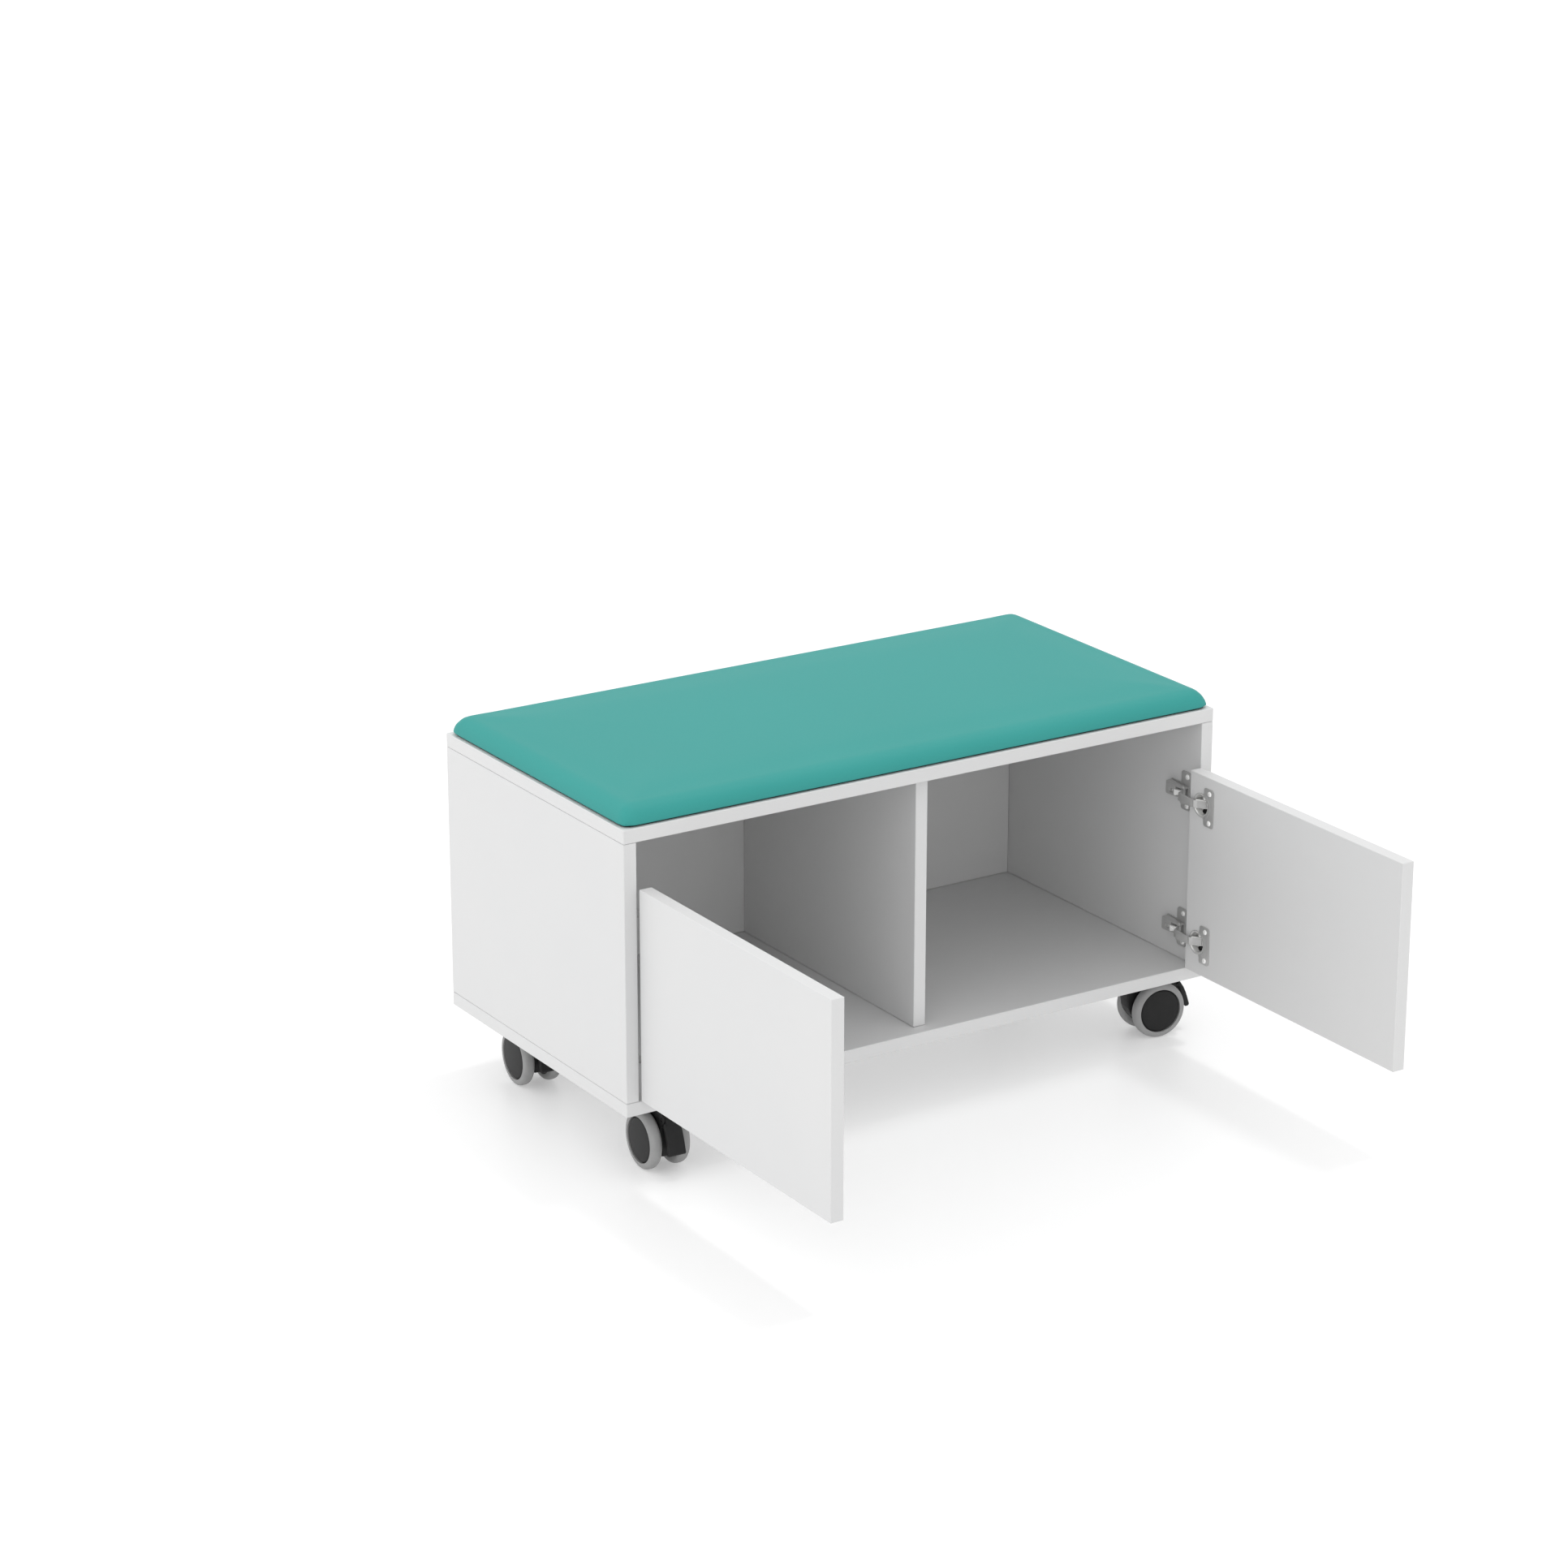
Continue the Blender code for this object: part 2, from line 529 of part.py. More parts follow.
def wheel_part(name, profile, mat, swivel, tilt, closed=False):
    """A turned part on the axle, from a profile whose outer side runs down."""
    bm = profile_bmesh(profile, WHEEL_SEGMENTS, closed)
    mesh = bpy.data.meshes.new(name)
    bm.to_mesh(mesh)
    bm.free()
    part = add(name, mesh, mat, AXLE_AT, (math.radians(tilt), 0, 0), swivel)
    screw = part.modifiers.new("Turn", "SCREW")
    screw.axis = "Z"
    screw.angle = math.tau
    screw.steps = screw.render_steps = WHEEL_SEGMENTS
    screw.use_merge_vertices = True
    screw.merge_threshold = 0.00001
    screw.use_smooth_shade = True


def castor_wheels(name, swivel):
    """The axle with a hub and a tyre at each end."""
    axle = cylinder_mesh(name + "_axle", **AXLE, matrix=ACROSS)
    add(name + "_axle", axle, ZINC, AXLE_AT, parent=swivel)
    for wheel, tilt in (("a", 90), ("b", -90)):
        wheel_part(f"{name}_hub_{wheel}", HUB_PROFILE, BLACK, swivel, tilt)
        wheel_part(f"{name}_tyre_{wheel}", TYRE_PROFILE, TYRE, swivel, tilt, closed=True)


def brake_lever(name, swivel):
    """A pad on a narrower root, with its origin on the pivot pin."""
    place = Matrix.Translation(-PIVOT_AT) @ ACROSS
    mesh = outline_mesh(name, about_axle(LEVER_PAD), LEVER_PAD_W, place)
    lever = add(name, mesh, BLACK, PIVOT_AT, parent=swivel)
    cut(lever, outline_mesh("root", about_axle(LEVER_ROOT), LEVER_ROOT_W, place), "UNION")
    cut(lever, cylinder_mesh("pivot_pin", **PIVOT_PIN, matrix=ACROSS), "UNION")


def castor(corner, trail):
    name = "castor_" + corner
    x = CASTOR_X if "right" in corner else -CASTOR_X
    y = CASTOR_Y if "back" in corner else -CASTOR_Y
    at = (MID_X + x, MID_Y + y, BASE_Z)
    castor_plate(name + "_plate", at)
    swivel = add(name + "_swivel", None, at=at, turn=(0, 0, math.radians(trail)))
    swivel.empty_display_size = 0.03
    castor_housing(name + "_housing", swivel)
    castor_wheels(name, swivel)
    brake_lever(name + "_brake_lever", swivel)


# ---------------------------------------------------------------- assembly
for name, low, high in CARCASS:
    carcass_board(name, low, high)
seat_base_board()
seat_cushion()
for side_name, side in (("left", 1), ("right", -1)):
    open_door(side_name + "_door", side)
    for level, z in HINGE_Z.items():
        hinge = f"{side_name}_{level}_hinge"
        hinge_cup(hinge + "_cup", z, side)
        hinge_plate(hinge + "_plate", z, side)
        hinge_arm(hinge + "_arm", z, side)
        hinge_link(hinge + "_link", z, side)
for corner, trail in CASTOR_TURN.items():
    castor(corner, trail)

for obj in parts.objects:
    if obj.type == "MESH" and "panel" not in obj.name and "door" not in obj.name:
        obj.data.shade_smooth()
        obj.data.set_sharp_from_angle(angle=SMOOTH_ANGLE)
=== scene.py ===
"""Looks of a mobile storage bench: white carcass, two open doors, teal padded seat, four castors.

Metres, +Z up. The front faces -Y and the left side is at -X. The CAD frame's low corner in Z is
the floor; every detailed piece rides on a body of that frame.
"""
import json
import math

import bmesh
import bpy
from mathutils import Matrix, Vector


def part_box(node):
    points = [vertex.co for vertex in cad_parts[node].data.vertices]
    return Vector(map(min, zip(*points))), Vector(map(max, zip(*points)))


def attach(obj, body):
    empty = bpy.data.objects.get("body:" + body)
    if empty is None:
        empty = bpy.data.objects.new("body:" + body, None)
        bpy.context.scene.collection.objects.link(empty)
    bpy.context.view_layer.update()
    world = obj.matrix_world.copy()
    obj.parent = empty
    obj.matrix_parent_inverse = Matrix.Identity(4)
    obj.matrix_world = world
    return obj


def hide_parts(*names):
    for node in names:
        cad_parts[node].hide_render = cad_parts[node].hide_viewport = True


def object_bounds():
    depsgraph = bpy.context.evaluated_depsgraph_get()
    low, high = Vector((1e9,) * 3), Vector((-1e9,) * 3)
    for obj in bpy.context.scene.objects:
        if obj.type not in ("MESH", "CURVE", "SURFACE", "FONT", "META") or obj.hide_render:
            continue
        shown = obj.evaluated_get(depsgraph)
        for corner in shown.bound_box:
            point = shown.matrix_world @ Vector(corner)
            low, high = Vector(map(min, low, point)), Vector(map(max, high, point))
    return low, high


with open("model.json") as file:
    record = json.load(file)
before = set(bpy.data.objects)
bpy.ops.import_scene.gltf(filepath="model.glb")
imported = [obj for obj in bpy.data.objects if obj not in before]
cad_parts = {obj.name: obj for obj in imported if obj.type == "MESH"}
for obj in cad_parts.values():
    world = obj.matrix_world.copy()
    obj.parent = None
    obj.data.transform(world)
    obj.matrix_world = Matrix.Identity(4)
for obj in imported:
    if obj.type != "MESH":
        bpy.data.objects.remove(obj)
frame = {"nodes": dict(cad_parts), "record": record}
cad_low, cad_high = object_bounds()
scene = bpy.context.scene


# ================================================================ node materials
class Material:
    """A node material; the texture and value helpers return their output socket."""

    def __init__(self, name):
        self.data = bpy.data.materials.new(name)
        self.data.use_nodes = True
        self.tree = self.data.node_tree
        self.tree.nodes.clear()
        output = self.node("ShaderNodeOutputMaterial")
        self.bsdf = self.node("ShaderNodeBsdfPrincipled")
        self.feed(output.inputs["Surface"], self.bsdf.outputs["BSDF"])
        self.place = self.node("ShaderNodeTexCoord").outputs["Object"]

    def feed(self, socket, value):
        """Link an output socket to an input, or set the input's own value."""
        if isinstance(value, bpy.types.NodeSocket):
            self.tree.links.new(value, socket)
        else:
            socket.default_value = value

    def node(self, kind, inputs=None, **settings):
        made = self.tree.nodes.new(kind)
        for key, value in settings.items():
            setattr(made, key, value)
        for key, value in (inputs or {}).items():
            self.feed(made.inputs[key], value)
        return made

    def surface(self, **values):
        """Feed inputs of the Principled shader; underscores stand for spaces."""
        for key, value in values.items():
            self.feed(self.bsdf.inputs[key.replace("_", " ")], value)

    def stretched(self, scale):
        return self.node("ShaderNodeMapping", {"Scale": scale, "Vector": self.place}).outputs["Vector"]

    def noise(self, scale, detail, rough, vector=None, distortion=0.0):
        return self.node("ShaderNodeTexNoise", {
            "Scale": scale, "Detail": detail, "Roughness": rough, "Distortion": distortion,
            "Vector": vector or self.place,
        }).outputs["Fac"]

    def ramp(self, source, first, second, at=(0.3, 0.7)):
        """Blend between two colours as source goes between the two positions."""
        made = self.node("ShaderNodeValToRGB", {"Fac": source})
        for element, position, colour in zip(made.color_ramp.elements, at, (first, second)):
            element.position = position
            element.color = (*colour, 1.0)
        return made.outputs["Color"]

    def remap(self, source, low, high, source_low=0.0, source_high=1.0):
        return self.node("ShaderNodeMapRange", {
            "From Min": source_low, "From Max": source_high, "To Min": low, "To Max": high,
            "Value": source,
        }).outputs["Result"]

    def math(self, operation, *values):
        inputs = dict(enumerate(values))
        return self.node("ShaderNodeMath", inputs, operation=operation).outputs["Value"]

    def mix(self, share, base, colour):
        """Lay a plain colour over a base colour socket."""
        made = self.node("ShaderNodeMix", data_type="RGBA", blend_type="MIX")
        for index, value in ((0, share), (6, base), (7, (*colour, 1.0))):
            self.feed(made.inputs[index], value)
        return made.outputs["Result"]

    def bump(self, height, strength, distance):
        made = self.node("ShaderNodeBump", {"Strength": strength, "Distance": distance, "Height": height})
        self.surface(Normal=made.outputs["Normal"])


JOINT_INSET = 0.0009              # edge band joint, in from the board's edge
JOINT_HALF_WIDTH = 0.00007
JOINT_STRENGTH = 0.22


def make_white_board(name, edges):
    """Melamine-faced board: satin white, faint press grain and the fine joint of the edge band.

    edges are (axis, coordinate) planes of the banded edges.
    """
    board = Material(name)
    board.surface(Metallic=0.0, IOR=1.45, Specular_IOR_Level=0.42)
    cloud = board.noise(scale=3.0, detail=4.0, rough=0.55)
    tint = board.ramp(cloud, (0.635, 0.637, 0.640), (0.655, 0.655, 0.653))
    split = board.node("ShaderNodeSeparateXYZ", {"Vector": board.place})
    joints = None
    for axis, edge in edges:
        from_edge = board.math("ABSOLUTE", board.math("SUBTRACT", split.outputs[axis], edge))
        from_joint = board.math("ABSOLUTE", board.math("SUBTRACT", from_edge, JOINT_INSET))
        line = board.math("LESS_THAN", from_joint, JOINT_HALF_WIDTH)
        joints = line if joints is None else board.math("MAXIMUM", joints, line)
    faded = board.math("MULTIPLY", joints, JOINT_STRENGTH)
    board.surface(Base_Color=board.mix(faded, tint, (0.42, 0.42, 0.41)))
    grain = board.noise(scale=1400.0, detail=2.0, rough=0.6)
    wide = board.noise(scale=38.0, detail=3.0, rough=0.6)
    fine_rough = board.remap(grain, low=0.36, high=0.44)
    wide_rough = board.remap(wide, low=-0.03, high=0.05)
    board.surface(Roughness=board.math("ADD", fine_rough, wide_rough))
    board.bump(grain, strength=0.18, distance=0.00012)
    return board.data


def make_upholstery():
    """Teal coated upholstery: fine pebble grain with painted shade in its pits, soft sheen, slight colour
    drift.
    """
    pit_painted_shade = 0.18
    pit_depth, fine_height = -0.7, 0.3        # shares of the bump height
    cover = Material("teal_upholstery")
    cover.surface(Metallic=0.0, IOR=1.45, Specular_IOR_Level=0.26)
    drift = cover.noise(scale=5.0, detail=3.0, rough=0.5)
    base = cover.ramp(drift, (0.0345, 0.296, 0.272), (0.0385, 0.306, 0.282))
    cells = cover.node(
        "ShaderNodeTexVoronoi", {"Scale": 1150.0, "Vector": cover.place}, feature="F1",
    ).outputs["Distance"]
    # painted shade: the grain's pits are coloured darker where they sink
    pits = cover.remap(cells, low=0.0, high=1.0, source_low=0.1, source_high=0.75)
    dark = cover.math("MULTIPLY", pits, pit_painted_shade)
    cover.surface(Base_Color=cover.mix(dark, base, (0.024, 0.220, 0.205)))
    fine = cover.noise(scale=2600.0, detail=2.0, rough=0.5)
    height = cover.math(
        "ADD", cover.math("MULTIPLY", pits, pit_depth), cover.math("MULTIPLY", fine, fine_height),
    )
    cover.surface(
        Roughness=cover.remap(drift, low=0.52, high=0.60),
        Sheen_Weight=0.03, Sheen_Roughness=0.4, Sheen_Tint=(0.75, 1.0, 0.98, 1.0),
    )
    cover.bump(height, strength=0.35, distance=0.00018)
    return cover.data


def make_steel(name, colour, rough, brushed, metal):
    """Plated pressed steel: polish lines scaled by brushed, and slight dulling."""
    steel = Material(name)
    steel.surface(Metallic=metal)
    lines = steel.noise(scale=260.0, detail=3.0, rough=0.6, vector=steel.stretched(brushed))
    spots = steel.noise(scale=60.0, detail=3.0, rough=0.6)
    dull = tuple(channel * 0.92 for channel in colour)
    steel.surface(Base_Color=steel.ramp(spots, dull, colour, at=(0.3, 0.75)))
    line_rough = steel.remap(lines, low=rough - 0.05, high=rough + 0.07)
    spot_rough = steel.remap(spots, low=-0.02, high=0.05)
    steel.surface(Roughness=steel.math("ADD", line_rough, spot_rough))
    steel.bump(lines, strength=0.06, distance=0.0001)
    return steel.data


def make_nylon():
    """Moulded black nylon with a fine spark-eroded grain."""
    nylon = Material("black_nylon")
    nylon.surface(Metallic=0.0, IOR=1.5, Specular_IOR_Level=0.24)
    wide = nylon.noise(scale=45.0, detail=3.0, rough=0.55)
    nylon.surface(Base_Color=nylon.ramp(wide, (0.0085, 0.0085, 0.0087), (0.0115, 0.0115, 0.0117)))
    grain = nylon.noise(scale=2300.0, detail=2.0, rough=0.55)
    nylon.surface(Roughness=nylon.remap(grain, low=0.40, high=0.56))
    nylon.bump(grain, strength=0.22, distance=0.0001)
    return nylon.data


def make_tyre():
    """Grey tread rubber: matt and faintly mottled."""
    rubber = Material("grey_tread")
    rubber.surface(Metallic=0.0, IOR=1.5, Specular_IOR_Level=0.3)
    wide = rubber.noise(scale=70.0, detail=4.0, rough=0.6)
    fine = rubber.noise(scale=1800.0, detail=2.0, rough=0.6)
    rubber.surface(
        Base_Color=rubber.ramp(wide, (0.270, 0.270, 0.270), (0.298, 0.298, 0.297)),
        Roughness=rubber.remap(fine, low=0.55, high=0.72),
    )
    rubber.bump(fine, strength=0.2, distance=0.00012)
    return rubber.data


def make_base_board_painted_shade():
    """Near-black board face under the pad: the dark colour is painted shade for the shadow gap at the
    pad's base, with a non-woven fibre texture.
    """
    cover = Material("base_painted_shade")
    cover.surface(Metallic=0.0)
    fibres = cover.noise(
        scale=900.0, detail=5.0, rough=0.7, vector=cover.stretched((1, 1, 1)), distortion=0.6,
    )
    cover.surface(
        Base_Color=cover.ramp(fibres, (0.020, 0.030, 0.030), (0.045, 0.055, 0.055)),
        Roughness=cover.remap(fibres, low=0.8, high=0.95),
    )
    cover.bump(fibres, strength=0.5, distance=0.0002)
    return cover.data


WHITE = make_white_board("white_melamine", [("Y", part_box("top_panel")[0].y)])
TEAL = make_upholstery()
STEEL = make_steel("hinge_steel", colour=(0.50, 0.50, 0.495), rough=0.30, brushed=(1, 6, 1), metal=0.42)
# painted highlight: near-white, mostly non-metallic steel, so the clip, shoe, screws and pin show as
# bright as metallic glints
BRIGHT_PAINTED_HIGHLIGHT = make_steel("steel_painted_highlight", colour=(0.96, 0.96, 0.95), rough=0.24, brushed=(1, 1, 1), metal=0.18)
POLISHED = make_steel(
    "polished_steel", colour=(0.82, 0.82, 0.81), rough=0.20, brushed=(1, 1, 1), metal=0.55)
ZINC = make_steel("zinc_plate", colour=(0.50, 0.51, 0.53), rough=0.36, brushed=(5, 1, 1), metal=1.0)
NYLON = make_nylon()
TYRE = make_tyre()
# painted shade: near-black colour for the shadow gap under the seat pad
BASE_PAINTED_SHADE = make_base_board_painted_shade()


# ================================================================ materials on the CAD pieces
def cad_material(name):
    if name == "seat_cushion":
        return TEAL
    # the base board wears the painted shade of the gap under the pad
    if name == "seat_base_board":
        return BASE_PAINTED_SHADE
    if name.endswith("_door"):
        low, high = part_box(name)
        edges = [("Y", low.y), ("Y", high.y), ("Z", low.z), ("Z", high.z)]
        return make_white_board("melamine_" + name, edges)
    if "panel" in name:
        return WHITE
    if "tyre" in name:
        return TYRE
    if "hub" in name or "housing" in name or "lever" in name:
        return NYLON
    if "castor" in name:
        return ZINC
    return STEEL


for cad_name, cad_piece in frame["nodes"].items():
    cad_coat = cad_material(cad_name)
    cad_piece.data.materials.clear()
    cad_piece.data.materials.append(cad_coat)
    for polygon in cad_piece.data.polygons:
        polygon.material_index = 0


# ================================================================ mesh helpers
def mm(points):
    """A table of points in millimetres, as metres."""
    return [(x / 1000, y / 1000) for x, y in points]


def piece(name, mesh, mat, body, stands_for=None, angle=40):
    obj = bpy.data.objects.new(name, mesh)
    scene.collection.objects.link(obj)
    mesh.materials.clear()
    mesh.materials.append(mat)
    mesh.shade_smooth()
    mesh.set_sharp_from_angle(angle=math.radians(angle))
    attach(obj, body)
    if stands_for:
        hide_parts(stands_for)


def unload(name, form):
    """Turn a bmesh into a mesh as it stands, and free it."""
    mesh = bpy.data.meshes.new(name)
    form.to_mesh(mesh)
    form.free()
    return mesh


def to_mesh(name, form, matrix=None):
    """Place a bmesh, turn its faces outward and make it a mesh."""
    if matrix is not None:
        bmesh.ops.transform(form, matrix=matrix, verts=form.verts)
    bmesh.ops.recalc_face_normals(form, faces=form.faces)
    return unload(name, form)


def revolve(name, profile, segments, matrix=None):
    """Turned solid about Z from (radius, height) points.

    A profile that starts and ends off the axis closes as a ring.
    """
    form = bmesh.new()
    rings = []
    for radius, height in profile:
        if radius < 1e-6:
            rings.append([form.verts.new((0, 0, height))])
            continue
        angles = [math.tau * k / segments for k in range(segments)]
        rings.append([
            form.verts.new((radius * math.cos(angle), radius * math.sin(angle), height))
            for angle in angles
        ])
    pairs = list(zip(rings, rings[1:]))
    if len(rings[0]) > 1 and len(rings[-1]) > 1:
        pairs.append((rings[-1], rings[0]))
    for ring, following in pairs:
        for k in range(segments):
            j = (k + 1) % segments
            if len(ring) == 1:
                form.faces.new((ring[0], following[k], following[j]))
            elif len(following) == 1:
                form.faces.new((ring[k], following[0], ring[j]))
            else:
                form.faces.new((ring[k], following[k], following[j], ring[j]))
    return to_mesh(name, form, matrix)


def rod(radius, top, bottom, segments, matrix):
    """Plain cylinder along Z, used as a cutter."""
    profile = [(0, top), (radius, top), (radius, bottom), (0, bottom)]
    return revolve("rod", profile, segments, matrix)


def rounded_corner(before, here, after, radius, steps, share):
    """Curve over one corner, cutting at most a share of either side."""
    behind, ahead = before - here, after - here
    turn = math.pi - behind.angle(ahead)
    if turn < 0.02:
        return [here]
    cut = min(radius * math.tan(turn / 2), behind.length * share, ahead.length * share)
    start, end = here + behind.normalized() * cut, here + ahead.normalized() * cut
    return [
        (1 - t) ** 2 * start + 2 * t * (1 - t) * here + t * t * end
        for t in (k / steps for k in range(steps + 1))
    ]


def round_outline(points, radius, steps=4):
    """Round a closed outline; radius is a number or one per point."""
    points = [Vector(point) for point in points]
    radii = radius if isinstance(radius, list) else [radius] * len(points)
    rounded = []
    for i, here in enumerate(points):
        after = points[(i + 1) % len(points)]
        rounded += rounded_corner(points[i - 1], here, after, radii[i], steps, share=0.48)
    return rounded


def round_path(points, radius, steps):
    """Round the inner corners of an open path."""
    points = [Vector(point) for point in points]
    rounded = [points[0]]
    for before, here, after in zip(points, points[1:], points[2:]):
        rounded += rounded_corner(before, here, after, radius, steps, share=0.45)
    return rounded + [points[-1]]


def slab(name, outline, low, high, bevel=0.0, segments=2, matrix=None):
    """Flat outline extruded from low to high in Z, with rounded rims."""
    form = bmesh.new()
    bottom = [form.verts.new((point[0], point[1], low)) for point in outline]
    top = [form.verts.new((point[0], point[1], high)) for point in outline]
    caps = [form.faces.new(top), form.faces.new(bottom[::-1])]
    for k in range(len(outline)):
        j = (k + 1) % len(outline)
        form.faces.new((bottom[k], bottom[j], top[j], top[k]))
    bmesh.ops.recalc_face_normals(form, faces=form.faces)
    if bevel:
        rims = [edge for cap in caps for edge in cap.edges]
        bmesh.ops.bevel(
            form, geom=rims, offset=bevel, segments=segments, profile=0.5, affect="EDGES",
            clamp_overlap=True, offset_type="OFFSET",
        )
    return to_mesh(name, form, matrix)


def block(low, high, bevel=0.0):
    """Box between two corners, as a bmesh."""
    form = bmesh.new()
    bmesh.ops.create_cube(form, size=1.0)
    for vert in form.verts:
        vert.co = [low[i] + (vert.co[i] + 0.5) * (high[i] - low[i]) for i in range(3)]
    if bevel:
        bmesh.ops.bevel(
            form, geom=form.edges[:], offset=bevel, segments=1, profile=0.5, affect="EDGES",
        )
    return form


def carve(mesh, tools, operation="DIFFERENCE"):
    """Exact Boolean of one mesh with several, as a new mesh."""
    base = bpy.data.objects.new("carve_base", mesh)
    scene.collection.objects.link(base)
    helpers = [base]
    for tool in tools:
        helper = bpy.data.objects.new("carve_tool", tool)
        scene.collection.objects.link(helper)
        helpers.append(helper)
        boolean = base.modifiers.new("carve", "BOOLEAN")
        boolean.operation = operation
        boolean.solver = "EXACT"
        boolean.object = helper
    bpy.context.view_layer.update()
    result = evaluated(base)
    for helper in helpers:
        bpy.data.objects.remove(helper)
    return result


def evaluated(obj):
    """The object's mesh with its modifiers worked in."""
    graph = bpy.context.evaluated_depsgraph_get()
    return bpy.data.meshes.new_from_object(obj.evaluated_get(graph), depsgraph=graph)


def flipped(mesh):
    """The mirror image of a mesh in X."""
    form = bmesh.new()
    form.from_mesh(mesh)
    bmesh.ops.scale(form, vec=(-1, 1, 1), verts=form.verts)
    bmesh.ops.reverse_faces(form, faces=form.faces)
    return unload(mesh.name + "_m", form)


def copy_at(mesh, matrix):
    placed = mesh.copy()
    placed.transform(matrix)
    return placed


def merge(name, meshes):
    form = bmesh.new()
    for mesh in meshes:
        form.from_mesh(mesh)
    return unload(name, form)


def screw_mesh(radius, height):
    """Domed screw head with a cross recess; the dome rises from z = 0."""
    skirt, sunk, dome_steps = 0.0002, 0.0004, 7
    profile = [(0, -sunk), (radius * 0.96, -sunk), (radius, 0.0)]
    for k in range(dome_steps):
        angle = math.pi / 2 * k / dome_steps
        profile.append((radius * math.cos(angle), skirt + (height - skirt) * math.sin(angle)))
    profile.append((0, height))
    head = revolve("screw", profile, 32)
    half_length, half_width, depth = radius * 0.62, radius * 0.14, height * 0.9
    arms = []
    for turn in (0.35, 0.35 + math.pi / 2):
        form = block(
            (-half_length, -half_width, height - depth), (half_length, half_width, height + 0.001),
        )
        for vert in form.verts:                   # the recess narrows toward its floor
            if vert.co.z < height:
                vert.co.x *= 0.55
                vert.co.y *= 0.6
        arms.append(to_mesh("arm", form, Matrix.Rotation(turn, 4, "Z")))
    return carve(head, arms)


# ================================================================ padded seat
seat_low, seat_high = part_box("seat_cushion")
BOARD_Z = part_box("seat_base_board")[0].z
UNDER = BOARD_Z + 0.0008                          # z of the pad's underside
HALF_X = (seat_high.x - seat_low.x) / 2 + 0.0003
HALF_Y = (seat_high.y - seat_low.y) / 2 + 0.0002
MID_X = (seat_high.x + seat_low.x) / 2
MID_Y = (seat_high.y + seat_low.y) / 2
CROWN = seat_high.z + 0.0014 - UNDER              # height of the crown above the underside
BOARD_INSET = 0.0030

# the skin's start shape: (inset from the edge, rise above the underside)
CAGE_RINGS = [
    (0.0030, 0.0), (0.0006, 0.0003), (0.0, 0.0018), (0.0, 0.0070), (0.0012, 0.0112),
    (0.0042, 0.0152), (0.0090, 0.0184), (0.0150, 0.0206), (0.0220, 0.0220),
]
CAGE_CORNER, CAGE_CORNER_MIN, CAGE_CORNER_STEPS = 0.011, 0.006, 8
VOXEL = 0.0050

CLOTH = {
    "quality": 6,
    "mass": 0.3,
    "tension_stiffness": 22,
    "compression_stiffness": 18,
    "shear_stiffness": 10,
    "bending_stiffness": 1.2,
    "use_pressure": True,
    "uniform_pressure_force": 4.0,
}
CLOTH_FRAMES = 20
PINNED_RISE, FREE_RISE = 0.0035, 0.008            # pinned below the first, free above the second
MAX_PUFF = 0.006                                  # farthest a point may be blown

# the moulded profile: upright side, full shoulder, slow crown
SIDE_RISE = 0.0022
SHOULDER = 0.0172                                 # width of the shoulder
SHOULDER_RISE = 0.0200
SOFT_CORNER = 0.0185                              # size of the corners in plan
CROWN_REACH, CROWN_SCALE = 0.055, 0.971           # how slowly the crown rises, and its scaling
PUFF_KEPT, PUFF_LIMIT = 0.12, 0.004               # share of the cloth's own shape that stays


def make_seat_base():
    """Thin board under the pad, set back from its edge; its dark colour is painted shade for the shadow
    gap under the pad.
    """
    half_x, half_y = HALF_X - BOARD_INSET, HALF_Y - BOARD_INSET
    outline = round_outline([
        (MID_X - half_x, MID_Y - half_y), (MID_X + half_x, MID_Y - half_y),
        (MID_X + half_x, MID_Y + half_y), (MID_X - half_x, MID_Y + half_y),
    ], 0.012, 8)
    mesh = slab("seat_base", outline, BOARD_Z, UNDER - 0.0001, bevel=0.0002, segments=1)
    piece("seat_base", mesh, BASE_PAINTED_SHADE, "carcass", "seat_base_board", angle=35)


def cage_ring(inset):
    """One rounded rectangle of the cage, as (x, y) points."""
    radius = max(CAGE_CORNER - inset * 0.55, CAGE_CORNER_MIN)
    points = []
    for side_x, side_y, start in ((1, -1, -90), (1, 1, 0), (-1, 1, 90), (-1, -1, 180)):
        centre_x = MID_X + side_x * (HALF_X - inset - radius)
        centre_y = MID_Y + side_y * (HALF_Y - inset - radius)
        for k in range(CAGE_CORNER_STEPS + 1):
            angle = math.radians(start + 90 * k / CAGE_CORNER_STEPS)
            points.append((centre_x + radius * math.cos(angle), centre_y + radius * math.sin(angle)))
    return points


def seat_cage():
    """Closed shell through the rings, with a flat underside and top."""
    form = bmesh.new()
    loops = [
        [form.verts.new((x, y, UNDER + rise)) for x, y in cage_ring(inset)]
        for inset, rise in CAGE_RINGS
    ]
    for lower, upper in zip(loops, loops[1:]):
        for k in range(len(lower)):
            j = (k + 1) % len(lower)
            form.faces.new((lower[k], lower[j], upper[j], upper[k]))
    form.faces.new(loops[0][::-1])
    form.faces.new(loops[-1])
    return to_mesh("seat_cage", form)


